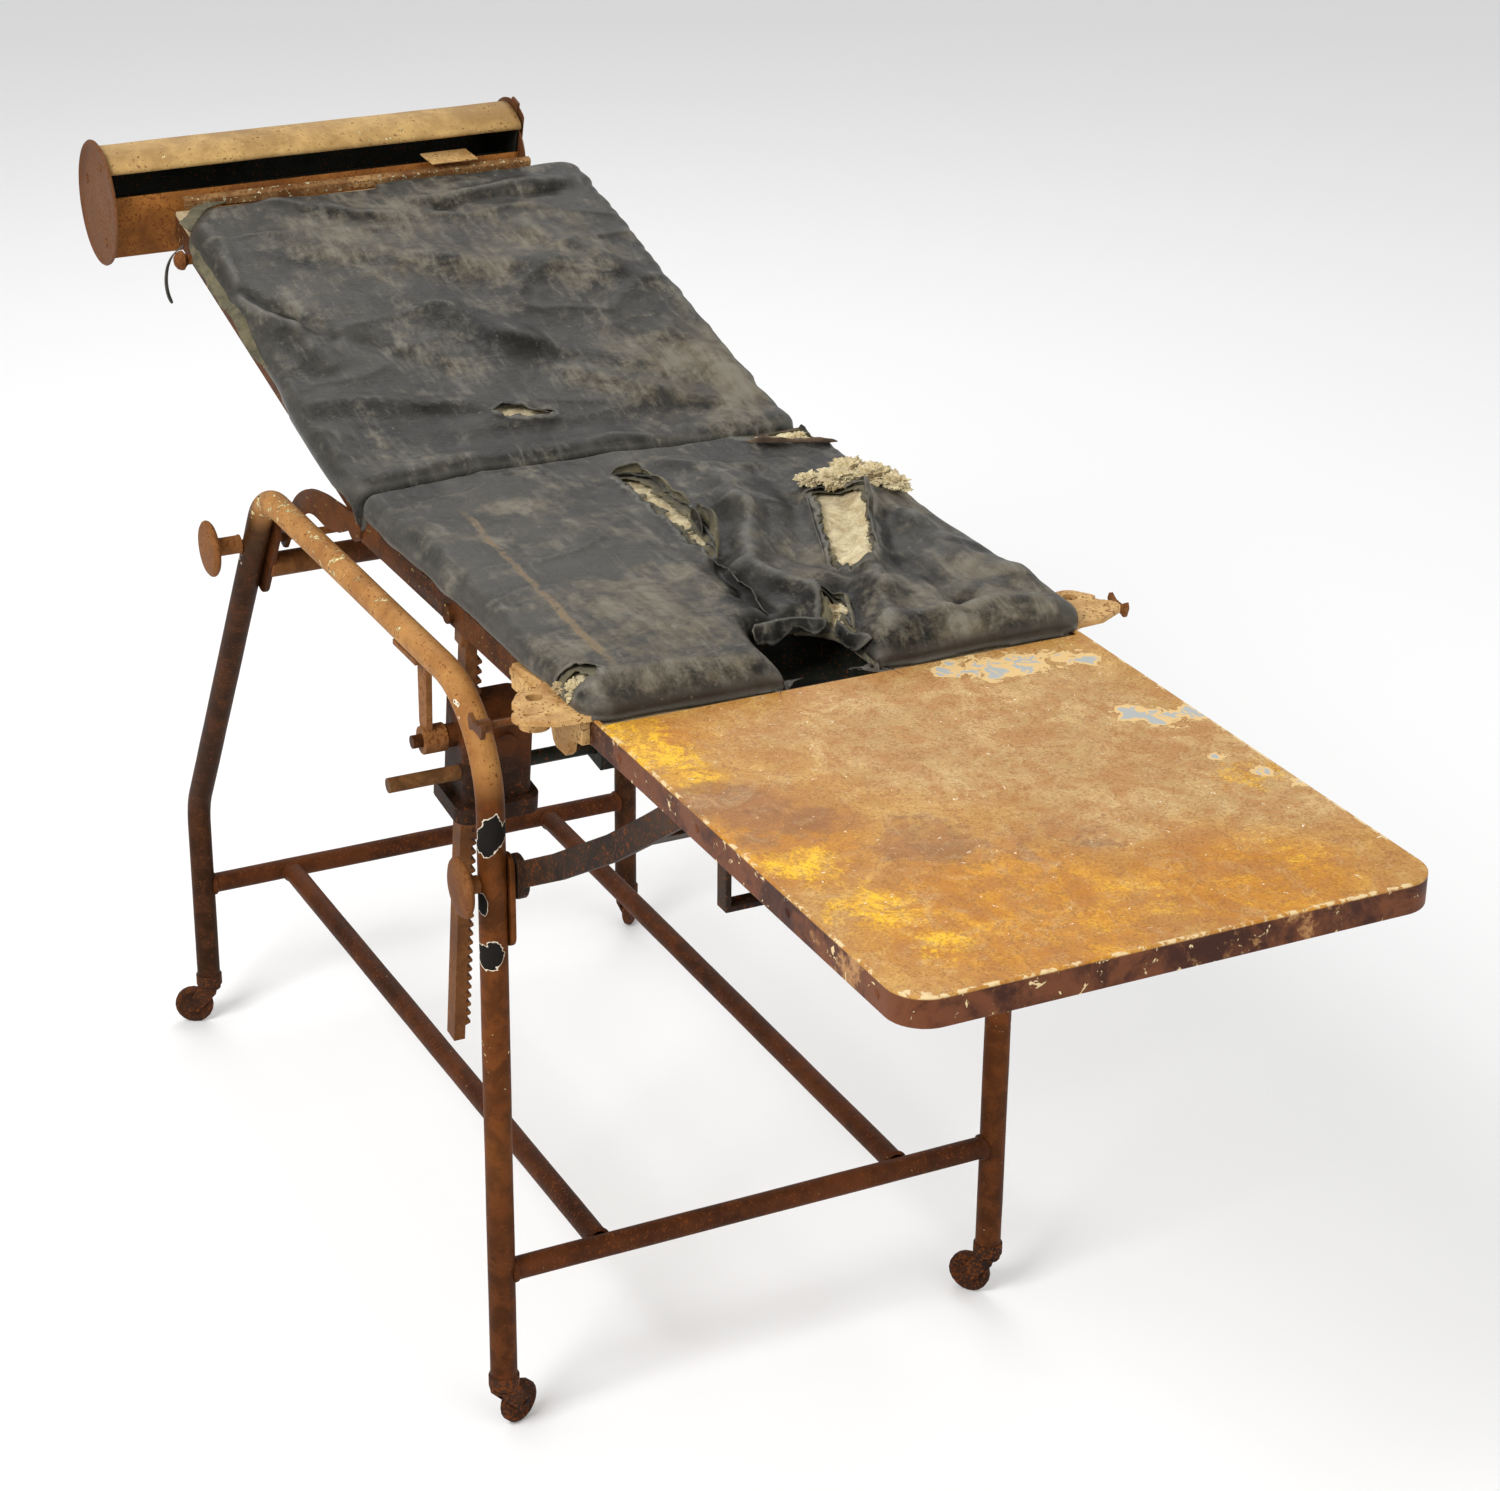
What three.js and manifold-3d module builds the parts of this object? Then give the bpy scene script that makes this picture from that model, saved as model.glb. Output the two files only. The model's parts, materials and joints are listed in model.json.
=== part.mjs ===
// Examination table: two bent-tube side frames on casters carry a tilting seat frame
// with a hinged backrest, a hinged foot panel, a paper-roll holder and a crank lift.
// Millimetres, +Z up, +X towards the foot end, the near side at -Y.
// Every piece is drawn with X = 0 at the head legs; the last lines centre the table.

import * as THREE from 'three';
import { mergeVertices } from 'three/addons/utils/BufferGeometryUtils.js';
import Module from 'manifold-3d';

const wasm = await Module();
wasm.setup();

// ---------------------------------------------------------------- driving dimensions
const GAP = 0.3; // clearance between pieces that touch

// side frames
const FRAME_Y = 254; // half the spacing of the side frames
const TUBE_R = 12.7;
const TUBE_SIDES = 12;
const FOOT_LEG_X = 845;
const LEG_BOTTOM = 46.5;
const RAIL_Z = 722;
const HEAD_BEND_X = 287; // where the leaning leg's line meets the top rail's line
const KINK_Z = 266; // where the leaning leg's line meets the upright leg's line
const INNER_Y = FRAME_Y - TUBE_R - GAP; // clear face inside a side frame
const LOW_RAIL_Z = 169;
const LOW_RAIL_R = 11;
const STRETCHER_Y = 154;

// head-end pivot of the seat frame
const PIVOT_X = 240;
const PIVOT_Z = 657;
const PIVOT_R = 4;
const CROSS_TUBE_X = 245;
const CROSS_TUBE_Z = 632;
const CROSS_TUBE_R = 12.5;
const PLATE_T = 4; // gussets and leg plates welded inside the side frames
const GUSSET_X = 242; // middle of the gusset that holds the pivot
const GUSSET_Z = 645;
const GUSSET_HALF = 38; // middle to the centre of each rounded end
const GUSSET_R = 17;
const LEG_PLATE_HALF = 12;
const LEG_PLATE_BOTTOM = 498;
const LEG_PLATE_TOP = 586;
const HEAD_KNOB_R = 28;
const HEAD_KNOB_Y = -303; // outer face of the disc
const FOOT_KNOB_R = 27;
const FOOT_KNOB_Y = -288;

// seat frame and what lies on it
const SEAT_Y = 223; // outer face of the seat rails
const BAR_T = 4; // thickness of the flat bars
const BAR_TOP = 757;
const BAR_DEEP = 25;
const SEAT_HEAD_X = 480.7;
const BACK_HINGE_X = 465;
const BACK_HINGE_Z = 742;
const HINGE_PIN_R = 4;
const RAIL_END_X = 931.5;
const RAIL_BEND_X = 475; // the rail is straight footward of this
const SOCKET_X = 937; // stirrup post hole
const SOCKET_Y = -251;
const SOCKET_SCREW_Z = 752;
const CROSS_BAR_X = 872;
const BOARD_HEAD_X = 476;
const BOARD_INSET = 7;
const BOARD_T = 5;
const SEAT_FRONT_X = 1000;
const CUSHION_Y = 217.5;
const CUSHION_HEAD_X = 482;
const SEAT_CUSHION_T = 24;
const SEAT_CUSHION_EDGE = 7; // step round its top edge
const CUTOUT_Y = -12; // middle of the U-shaped cut-out
const CUTOUT_HALF = 50;
const CUTOUT_HEAD_X = 880;
const PAN_WALL = 2;
const PAN_HALF = 62; // half the drain pan's width
const PAN_FOOT_X = 987;
const PAN_BOTTOM = 724;

// backrest, drawn along its own plane and turned about the hinge
const BACK_ANGLE = THREE.MathUtils.degToRad(14.6);
const BACK_LENGTH = 563;
const BACK_RAIL_Y = 216;
const BACK_RAIL_TOP = 15;
const BACK_CUSHION_T = 14;
const STAY_LENGTH = 115; // hinge to stay pivot, and stay pivot to stay foot
const STAY_Y = 57;
const TRACK_Y = 64;
const TRACK_HEAD_X = 225;
const TRACK_BOTTOM = 713;
const TRACK_TOP = 737.6;
const TRACK_NOTCHES = [235, 251, 267, 283];
const FOOT_BAR_X = -32;

// paper-roll holder, in the backrest's plane
const ROLL_X = -618;
const ROLL_Z = 8.5;
const ROLL_R = 57;
const ROLL_WALL_X = -592;
const ROLL_NEAR_Y = -278.5;
const ROLL_FAR_Y = 178;
const ROLL_DISC_R = 65;
const ROLL_FAR_DISC_R = 45;
const ROLL_LIP_ANGLE = THREE.MathUtils.degToRad(64); // where the rolled sheet ends, over the top
const STRAP_HALF = 13;
const STRAP_Y = { near: -150, far: 120 };
const SHEET_T = 1.8;

// foot panel
const PANEL_HINGE_X = 945;
const PANEL_HINGE_Z = 753.5;
const PANEL_PIN_R = 4.5;
const PANEL_TOP = 766;
const PANEL_HEAD_X = 1004;
const PANEL_FOOT_X = 1507;
const PANEL_CORNER_R = 30;
const PANEL_SHEET_T = 2;
const EAR_END_X = 1050;
const LOOP_X = 1192;
const LOOP_NEAR_Y = -205;
const LOOP_FAR_Y = -128;
const LOOP_BOTTOM = 687;
const LOOP_HALF = 8;
const LOOP_T = 5;

// foot support bail
const ARM_PIVOT_Z = 562;
const ARM_Y = 231;
const ARM_TIP_Y = 213;
const ARM_DEEP = 23;
const ARM_THICK = 8;
const ARM_BOLT_R = 5;
const BAIL_X = 1078; // the bar that joins the arms
const BAIL_Z = 706;
const BAIL_HALF = 17;
const BAIL_TILT = THREE.MathUtils.degToRad(35);

// lift: a rack hangs from each seat rail, in a frame of its own that leans headward
const RACK_PIN_X = 688;
const RACK_PIN_Z = 744;
const RACK_LEAN = THREE.MathUtils.degToRad(7.6);
const RACK_BACK_Y = -212;
const RACK_TIP_Y = -196;
const RACK_HALF = 9;
const RACK_BOTTOM = -458;
const TOOTH_PITCH = 10;
const TOOTH_ROOT_HALF = 3.1;
const TOOTH_TIP_HALF = 1.3;
const TOOTH_DEEP = 5;
const RACK_TEETH = 40;
const PINION_TEETH = 8;
const PINION_Y = -185.5;
const PINION_Z = -119.4;
const PINION_HALF = 9.5;
const PINION_SHAFT_R = 5;
const WHEEL_TEETH = 20;
const WORM_X = 22.1;
const WORM_Z = -150.4;
const CRANK_R = 7;
const CRANK_TIP_Y = -288;
const COUPLING_HALF = 17;
const COUPLING_Y = -71; // middle of the coupling block
const COUPLING_LENGTH = 38;
const TRUNNION_X = 8.8; // in the rack's frame
const TRUNNION_Z = -118.9;
const TRUNNION_R = 6;
const HANGER_X = 681; // the trunnion in the table's frame
const HANGER_Z = 625;

// casters
const WHEEL_R = 21;
const WHEEL_HALF = 6;
const CASTER_TRAIL = 18;
const STEM_R = 5;
const STEM_TOP = 68;

// ---------------------------------------------------------------- materials
const paint = (color, roughness, metalness) =>
  new THREE.MeshStandardMaterial({ color, roughness, metalness });
const framePaint = paint(0x8f5a32, 0.55, 0.3);
const rustyIron = paint(0x5b3826, 0.75, 0.5);
const darkIron = paint(0x2b211c, 0.7, 0.6);
const panelPaint = paint(0xb27a2e, 0.6, 0.2);
const oilcloth = paint(0x2d3136, 0.5, 0.0);
const plywood = paint(0xb79b6a, 0.85, 0.0);
const casterIron = paint(0x3a2620, 0.7, 0.5);
const brightSteel = paint(0x9a9a98, 0.4, 0.9);

// ---------------------------------------------------------------- solids
function solidFrom(geometry) {
  const bare = geometry.clone();
  bare.deleteAttribute('normal');
  bare.deleteAttribute('uv');
  const merged = mergeVertices(bare, 1e-3);
  return new wasm.Manifold(new wasm.Mesh({
    numProp: 3,
    vertProperties: merged.attributes.position.array,
    triVerts: Uint32Array.from(merged.index.array),
  }));
}

function geometryFrom(solid) {
  const mesh = solid.getMesh();
  const geometry = new THREE.BufferGeometry();
  geometry.setAttribute('position', new THREE.BufferAttribute(mesh.vertProperties, 3));
  geometry.setIndex(new THREE.BufferAttribute(mesh.triVerts, 1));
  geometry.computeVertexNormals();
  return geometry;
}

function join(geometries, holes = []) {
  let solid = solidFrom(geometries[0]);
  for (const geometry of geometries.slice(1)) solid = solid.add(solidFrom(geometry));
  for (const hole of holes) solid = solid.subtract(solidFrom(hole));
  return geometryFrom(solid);
}

function mirroredY(geometry) {
  const mirrored = geometry.index ? geometry.toNonIndexed() : geometry.clone();
  mirrored.scale(1, -1, 1);
  const position = mirrored.attributes.position;
  const corner = new THREE.Vector3();
  const other = new THREE.Vector3();
  for (let i = 0; i < position.count; i += 3) {
    corner.fromBufferAttribute(position, i + 1);
    other.fromBufferAttribute(position, i + 2);
    position.setXYZ(i + 1, other.x, other.y, other.z);
    position.setXYZ(i + 2, corner.x, corner.y, corner.z);
  }
  mirrored.deleteAttribute('normal');
  if (mirrored.attributes.uv) mirrored.deleteAttribute('uv');
  const indexed = mergeVertices(mirrored, 1e-3);
  indexed.computeVertexNormals();
  return indexed;
}

// a piece drawn for the near side, or its mirror image for the far side
const onSide = (side, geometry) => (side < 0 ? geometry : mirroredY(geometry));

function block(x0, x1, y0, y1, z0, z1) {
  const box = new THREE.BoxGeometry(x1 - x0, y1 - y0, z1 - z0);
  return box.translate((x0 + x1) / 2, (y0 + y1) / 2, (z0 + z1) / 2);
}

function rodY(radius, y0, y1, x, z, sides = 16) {
  const rod = new THREE.CylinderGeometry(radius, radius, y1 - y0, sides);
  return rod.translate(x, (y0 + y1) / 2, z);
}

function rodX(radius, x0, x1, y, z, sides = 16) {
  const rod = new THREE.CylinderGeometry(radius, radius, x1 - x0, sides);
  return rod.rotateZ(Math.PI / 2).translate((x0 + x1) / 2, y, z);
}

function rodZ(radius, z0, z1, x, y, sides = 16) {
  const rod = new THREE.CylinderGeometry(radius, radius, z1 - z0, sides);
  return rod.rotateX(Math.PI / 2).translate(x, y, (z0 + z1) / 2);
}

function outline(points, curves = 5) {
  const shape = new THREE.Shape(points.map(([a, b]) => new THREE.Vector2(a, b)));
  shape.curveSegments = curves;
  return shape;
}

function roundHole(x, y, radius) {
  const hole = new THREE.Path();
  hole.absarc(x, y, radius, 0, Math.PI * 2, true);
  return hole;
}

function slabZ(shape, z0, z1, curveSegments = 6) {
  const slab = new THREE.ExtrudeGeometry(shape, { depth: z1 - z0, bevelEnabled: false, curveSegments });
  return slab.translate(0, 0, z0);
}

// a shape drawn in (x, z), with thickness along Y
function slabY(shape, y0, y1, curveSegments = 6) {
  const slab = new THREE.ExtrudeGeometry(shape, { depth: y1 - y0, bevelEnabled: false, curveSegments });
  return slab.rotateX(Math.PI / 2).translate(0, y1, 0);
}

// a shape drawn in (y, z), with thickness along X
function slabX(shape, x0, x1, curveSegments = 6) {
  const slab = new THREE.ExtrudeGeometry(shape, { depth: x1 - x0, bevelEnabled: false, curveSegments });
  const turn = new THREE.Matrix4().makeBasis(
    new THREE.Vector3(0, 1, 0), new THREE.Vector3(0, 0, 1), new THREE.Vector3(1, 0, 0));
  return slab.applyMatrix4(turn).translate(x0, 0, 0);
}

function roundedRectangle(x0, x1, y0, y1, radius) {
  const shape = new THREE.Shape();
  shape.absarc(x1 - radius, y0 + radius, radius, -Math.PI / 2, 0);
  shape.absarc(x1 - radius, y1 - radius, radius, 0, Math.PI / 2);
  shape.absarc(x0 + radius, y1 - radius, radius, Math.PI / 2, Math.PI);
  shape.absarc(x0 + radius, y0 + radius, radius, Math.PI, Math.PI * 1.5);
  return shape;
}

// Straight runs joined by arcs. Sections keep one side along Y at every station.
class BentPath extends THREE.Curve {
  constructor(corners, arcSteps = 5) {
    super();
    this.stations = [];
    corners.forEach(({ at, radius }, i) => {
      const corner = new THREE.Vector3(...at);
      const before = i > 0 ? new THREE.Vector3(...corners[i - 1].at) : null;
      const after = i < corners.length - 1 ? new THREE.Vector3(...corners[i + 1].at) : null;
      const arriving = before && corner.clone().sub(before).normalize();
      const leaving = after && after.clone().sub(corner).normalize();
      if (!radius) {
        const tangent = (arriving ?? leaving).clone().add(leaving ?? arriving).normalize();
        this.stations.push({ point: corner, tangent });
        return;
      }
      const turn = arriving.angleTo(leaving);
      const start = corner.clone().addScaledVector(arriving, -radius * Math.tan(turn / 2));
      const inward = leaving.clone().addScaledVector(arriving, -arriving.dot(leaving)).normalize();
      for (let step = 0; step <= arcSteps; step += 1) {
        const angle = turn * step / arcSteps;
        const point = start.clone()
          .addScaledVector(arriving, radius * Math.sin(angle))
          .addScaledVector(inward, radius * (1 - Math.cos(angle)));
        const tangent = arriving.clone().multiplyScalar(Math.cos(angle))
          .addScaledVector(inward, Math.sin(angle));
        this.stations.push({ point, tangent });
      }
    });
    this.steps = this.stations.length - 1;
  }

  station(t) {
    return this.stations[Math.round(t * this.steps)];
  }

  getPoint(t) {
    return this.station(t).point.clone();
  }

  getPointAt(t) {
    return this.getPoint(t);
  }

  computeFrenetFrames() {
    const side = new THREE.Vector3(0, 1, 0);
    const tangents = this.stations.map(({ tangent }) => tangent);
    const normals = tangents.map((tangent) => side.clone().cross(tangent).normalize());
    const binormals = tangents.map(() => side.clone());
    return { tangents, normals, binormals };
  }
}

function sweep(shape, path) {
  return new THREE.ExtrudeGeometry(shape, { steps: path.steps, extrudePath: path, curveSegments: 1 });
}

function regularPolygon(radius, sides) {
  const corners = Array.from({ length: sides }, (_, i) => {
    const angle = 2 * Math.PI * i / sides;
    return [radius * Math.cos(angle), radius * Math.sin(angle)];
  });
  return outline(corners);
}

function gearOutline(teeth, root, tip, rootHalf, tipHalf, phase) {
  const corners = [];
  for (let tooth = 0; tooth < teeth; tooth += 1) {
    const middle = phase + 2 * Math.PI * tooth / teeth;
    for (const [radius, half] of [[root, -rootHalf], [tip, -tipHalf], [tip, tipHalf], [root, rootHalf]]) {
      const angle = middle + half / radius;
      corners.push([radius * Math.cos(angle), radius * Math.sin(angle)]);
    }
  }
  return outline(corners);
}

const table = new THREE.Group();

function piece(name, material, geometry, group = table) {
  const mesh = new THREE.Mesh(geometry, material);
  mesh.name = name;
  group.add(mesh);
  return mesh;
}

const SIDES = [['near', -1], ['far', 1]];

// ---------------------------------------------------------------- side frames and rails
function headGusset() {
  const lean = Math.atan2(RAIL_Z - KINK_Z, HEAD_BEND_X);
  const shape = new THREE.Shape();
  for (const [end, turn] of [[1, 0], [-1, Math.PI]]) {
    const x = GUSSET_X + end * GUSSET_HALF * Math.cos(lean);
    const z = GUSSET_Z + end * GUSSET_HALF * Math.sin(lean);
    shape.absarc(x, z, GUSSET_R, lean - Math.PI / 2 + turn, lean + Math.PI / 2 + turn);
  }
  return slabY(shape, -INNER_Y - 2, -INNER_Y + PLATE_T);
}

function sideFrame(side) {
  const path = new BentPath([
    { at: [0, -FRAME_Y, LEG_BOTTOM] },
    { at: [0, -FRAME_Y, KINK_Z], radius: 80 },
    { at: [HEAD_BEND_X, -FRAME_Y, RAIL_Z], radius: 65 },
    { at: [FOOT_LEG_X, -FRAME_Y, RAIL_Z], radius: 97 },
    { at: [FOOT_LEG_X, -FRAME_Y, LEG_BOTTOM] },
  ]);
  const tube = sweep(regularPolygon(TUBE_R, TUBE_SIDES), path);
  const plate = roundedRectangle(FOOT_LEG_X - LEG_PLATE_HALF, FOOT_LEG_X + LEG_PLATE_HALF,
    LEG_PLATE_BOTTOM, LEG_PLATE_TOP, 8);
  const legPlate = slabY(plate, -INNER_Y - 2, -INNER_Y + PLATE_T, 3);
  const outside = -FRAME_Y - TUBE_R - 2;
  const inside = -INNER_Y + PLATE_T + 2;
  const holes = [
    rodY(PIVOT_R + GAP, outside, inside, PIVOT_X, PIVOT_Z, 12),
    rodY(ARM_BOLT_R + GAP, outside, inside, FOOT_LEG_X, ARM_PIVOT_Z, 12),
  ];
  for (const x of [0, FOOT_LEG_X]) {
    holes.push(rodZ(STEM_R + GAP, LEG_BOTTOM - 5, STEM_TOP + 2, x, -FRAME_Y, 12));
  }
  return onSide(side, join([tube, headGusset(), legPlate], holes));
}

function gearHanger(side) {
  const strapTop = RAIL_Z - TUBE_R - GAP;
  const strap = outline([[672, strapTop - 2], [672, 640], [HANGER_X, 620], [690, 640], [693, strapTop - 2]]);
  const flange = block(642, 696, -261, -243, strapTop - 5, strapTop);
  const boss = rodY(13, -252, -230.5, HANGER_X, HANGER_Z);
  const hole = rodY(TRUNNION_R + GAP, -255, -228, HANGER_X, HANGER_Z);
  return onSide(side, join([slabY(strap, -250, -244), flange, boss], [hole]));
}

for (const [name, side] of SIDES) {
  piece(`side_frame_${name}`, framePaint, sideFrame(side));
  piece(`gear_hanger_${name}`, framePaint, gearHanger(side));
  const stretcher = rodX(LOW_RAIL_R, LOW_RAIL_R + GAP, FOOT_LEG_X - LOW_RAIL_R - GAP,
    side * STRETCHER_Y, LOW_RAIL_Z);
  piece(`stretcher_${name}`, rustyIron, stretcher);
}
piece('cross_rail_head', rustyIron, rodY(LOW_RAIL_R, -INNER_Y, INNER_Y, 0, LOW_RAIL_Z));
piece('cross_rail_foot', rustyIron, rodY(LOW_RAIL_R, -INNER_Y, INNER_Y, FOOT_LEG_X, LOW_RAIL_Z));
const crossTubeEnd = INNER_Y - PLATE_T - GAP;
piece('cross_tube_upper', rustyIron,
  rodY(CROSS_TUBE_R, -crossTubeEnd, crossTubeEnd, CROSS_TUBE_X, CROSS_TUBE_Z));

// ---------------------------------------------------------------- clamp knobs
const outerFace = -FRAME_Y - TUBE_R - GAP;
piece('head_clamp_knob', framePaint, join([
  rodY(HEAD_KNOB_R, HEAD_KNOB_Y, HEAD_KNOB_Y + 9, PIVOT_X, PIVOT_Z, 28),
  rodY(9, -296, outerFace, PIVOT_X, PIVOT_Z),
], [rodY(PIVOT_R + GAP, -285, outerFace + 2, PIVOT_X, PIVOT_Z, 12)]));
piece('head_pivot_rod', rustyIron, rodY(PIVOT_R, -284, 262, PIVOT_X, PIVOT_Z, 12));
piece('foot_clamp_knob', framePaint, join([
  rodY(FOOT_KNOB_R, FOOT_KNOB_Y, FOOT_KNOB_Y + 8.5, FOOT_LEG_X, ARM_PIVOT_Z, 28),
  rodY(8, -281, outerFace, FOOT_LEG_X, ARM_PIVOT_Z),
  rodY(ARM_BOLT_R, -270, -222, FOOT_LEG_X, ARM_PIVOT_Z, 12),
]));
piece('far_arm_bolt', rustyIron, join([
  rodY(9, -outerFace, -outerFace + 6, FOOT_LEG_X, ARM_PIVOT_Z, 6),
  rodY(ARM_BOLT_R, 222, -outerFace + 3, FOOT_LEG_X, ARM_PIVOT_Z, 12),
]));

// ---------------------------------------------------------------- seat frame
function seatRail(side) {
  const shape = new THREE.Shape();
  const bottom = BAR_TOP - BAR_DEEP;
  shape.moveTo(RAIL_END_X, bottom);
  shape.lineTo(RAIL_END_X, BAR_TOP);
  shape.lineTo(RAIL_BEND_X, BAR_TOP);
  shape.splineThru([[440, 752], [400, 748], [362, 744], [317, 733], [277, 709], [250, 672]]
    .map(([x, z]) => new THREE.Vector2(x, z)));
  shape.absarc(PIVOT_X, PIVOT_Z, 11, THREE.MathUtils.degToRad(40), THREE.MathUtils.degToRad(-60), false);
  shape.splineThru([[268, 674], [298, 699], [331, 712], [369, 712], [405, 719]]
    .map(([x, z]) => new THREE.Vector2(x, z)));
  shape.absarc(444, 741, 16, THREE.MathUtils.degToRad(220), THREE.MathUtils.degToRad(325));
  shape.lineTo(RAIL_BEND_X, bottom);
  shape.holes.push(roundHole(PIVOT_X, PIVOT_Z, PIVOT_R + 2 * GAP));
  return onSide(side, join([
    slabY(shape, -SEAT_Y, -SEAT_Y + BAR_T, 4),
    rodY(9, -SEAT_Y - 5.5, -SEAT_Y + 1, RACK_PIN_X, RACK_PIN_Z),
    rodY(5, -SEAT_Y, -206, RACK_PIN_X, RACK_PIN_Z, 12),
    rodY(7, -SEAT_Y - 3, -SEAT_Y + 1, BACK_HINGE_X, BACK_HINGE_Z, 12),
    rodY(HINGE_PIN_R, -SEAT_Y, -211, BACK_HINGE_X, BACK_HINGE_Z, 12),
  ]));
}

function stirrupSocket(side) {
  const face = -SEAT_Y - GAP;
  const sidePlate = outline([
    [840, 735], [921, 735], [926, 723], [932, 719], [951, 719], [957, 724], [961, 738],
    [985, 742], [985, 766], [905, 766], [842, 758], [838, 750],
  ]);
  const topPlate = new THREE.Shape();
  topPlate.moveTo(905, face);
  topPlate.lineTo(917, -240);
  topPlate.absarc(SOCKET_X, SOCKET_Y, 16, THREE.MathUtils.degToRad(150), THREE.MathUtils.degToRad(250));
  topPlate.lineTo(938, -271);
  topPlate.absarc(948, -276, 6, THREE.MathUtils.degToRad(150), THREE.MathUtils.degToRad(0), true);
  topPlate.absarc(966, -270, 12, THREE.MathUtils.degToRad(205), THREE.MathUtils.degToRad(325));
  topPlate.lineTo(989, -253);
  topPlate.lineTo(991, face);
  const boss = rodZ(13, 743, 766, SOCKET_X, SOCKET_Y);
  const holes = [
    rodZ(7, 740, 775, SOCKET_X, SOCKET_Y),
    rodZ(3, 760, 775, 966, -270, 10),
    rodZ(3, 760, 775, 973, -254, 10),
    rodY(3 + GAP, -270, -255, SOCKET_X, SOCKET_SCREW_Z, 10),
  ];
  const rib = block(845, 925, face - 11, face, 750, 756);
  const hingePin = rodY(PANEL_PIN_R, -234, -218, PANEL_HINGE_X, PANEL_HINGE_Z, 12);
  const solids = [slabY(sidePlate, face - 7, face), slabZ(topPlate, 764, 769, 4), boss, rib, hingePin];
  return onSide(side, join(solids, holes));
}

function thumbScrew(side) {
  const wing = outline([
    [-5, 3], [-13, 8], [-15, 3], [-12, -6], [-5, -4], [5, -4], [12, -6], [15, 3], [13, 8], [5, 3],
  ]);
  return onSide(side, join([
    rodY(3, -301, -259, SOCKET_X, SOCKET_SCREW_Z, 10),
    rodY(6, -300, -290, SOCKET_X, SOCKET_SCREW_Z, 12),
    slabY(wing, -303, -299).translate(SOCKET_X, 0, SOCKET_SCREW_Z),
  ]));
}

function crossBar(x, y = SEAT_Y - BAR_T - GAP) {
  return block(x, x + BAR_T, -y, y, BAR_TOP - BAR_DEEP + 1, BAR_TOP);
}

function cutOutPath(start, half, end) {
  const points = [new THREE.Vector2(end, CUTOUT_Y - half)];
  const centre = start + half;
  for (let step = 0; step <= 8; step += 1) {
    const angle = -Math.PI / 2 - Math.PI * step / 8;
    points.push(new THREE.Vector2(centre + half * Math.cos(angle), CUTOUT_Y + half * Math.sin(angle)));
  }
  points.push(new THREE.Vector2(end, CUTOUT_Y + half));
  return points;
}

function seatOutline(headX, y, half) {
  const shape = new THREE.Shape();
  shape.moveTo(headX, -y);
  shape.lineTo(SEAT_FRONT_X, -y);
  for (const { x, y: across } of cutOutPath(CUTOUT_HEAD_X, half, SEAT_FRONT_X)) shape.lineTo(x, across);
  shape.lineTo(SEAT_FRONT_X, y);
  shape.lineTo(headX, y);
  return shape;
}

function seatCushion() {
  const bottom = BAR_TOP + GAP + BOARD_T + GAP;
  const top = bottom + SEAT_CUSHION_T;
  const bevel = SEAT_CUSHION_EDGE;
  const body = slabZ(seatOutline(CUSHION_HEAD_X, CUSHION_Y, CUTOUT_HALF), bottom, top - bevel);
  const crownOutline = seatOutline(CUSHION_HEAD_X + bevel, CUSHION_Y - bevel, CUTOUT_HALF + bevel);
  return join([body, slabZ(crownOutline, bottom + 1, top)]);
}

for (const [name, side] of SIDES) {
  piece(`seat_rail_${name}`, framePaint, seatRail(side));
  piece(`stirrup_socket_${name}`, framePaint, stirrupSocket(side));
  piece(`thumb_screw_${name}`, rustyIron, thumbScrew(side));
}
piece('seat_cross_bar_foot', rustyIron, crossBar(CROSS_BAR_X));
const trackEnd = SEAT_HEAD_X + 2;
piece('stay_tracks', rustyIron, join([
  crossBar(SEAT_HEAD_X),
  block(TRACK_HEAD_X, trackEnd, -TRACK_Y - BAR_T, -TRACK_Y, TRACK_BOTTOM, TRACK_TOP),
  block(TRACK_HEAD_X, trackEnd, TRACK_Y, TRACK_Y + BAR_T, TRACK_BOTTOM, TRACK_TOP),
], TRACK_NOTCHES.map((x) => rodY(4.5, -90, 90, x, TRACK_TOP + 1.9, 8))));
const boardOutline = seatOutline(BOARD_HEAD_X, SEAT_Y - BOARD_INSET, CUTOUT_HALF);
piece('seat_board', plywood, slabZ(boardOutline, BAR_TOP + GAP, BAR_TOP + GAP + BOARD_T));
piece('seat_cushion', oilcloth, seatCushion());
const panHeadX = CUTOUT_HEAD_X - 1;
const panHollow = PAN_HALF - PAN_WALL;
piece('drain_pan', darkIron, join(
  [block(panHeadX, PAN_FOOT_X, CUTOUT_Y - PAN_HALF, CUTOUT_Y + PAN_HALF, PAN_BOTTOM, BAR_TOP)],
  [block(panHeadX + PAN_WALL, PAN_FOOT_X - PAN_WALL, CUTOUT_Y - panHollow, CUTOUT_Y + panHollow,
    PAN_BOTTOM + PAN_WALL, BAR_TOP + 5)]));

// ---------------------------------------------------------------- backrest
const backrest = new THREE.Group();
backrest.position.set(BACK_HINGE_X, 0, BACK_HINGE_Z);
backrest.rotation.y = BACK_ANGLE;
table.add(backrest);

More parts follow.
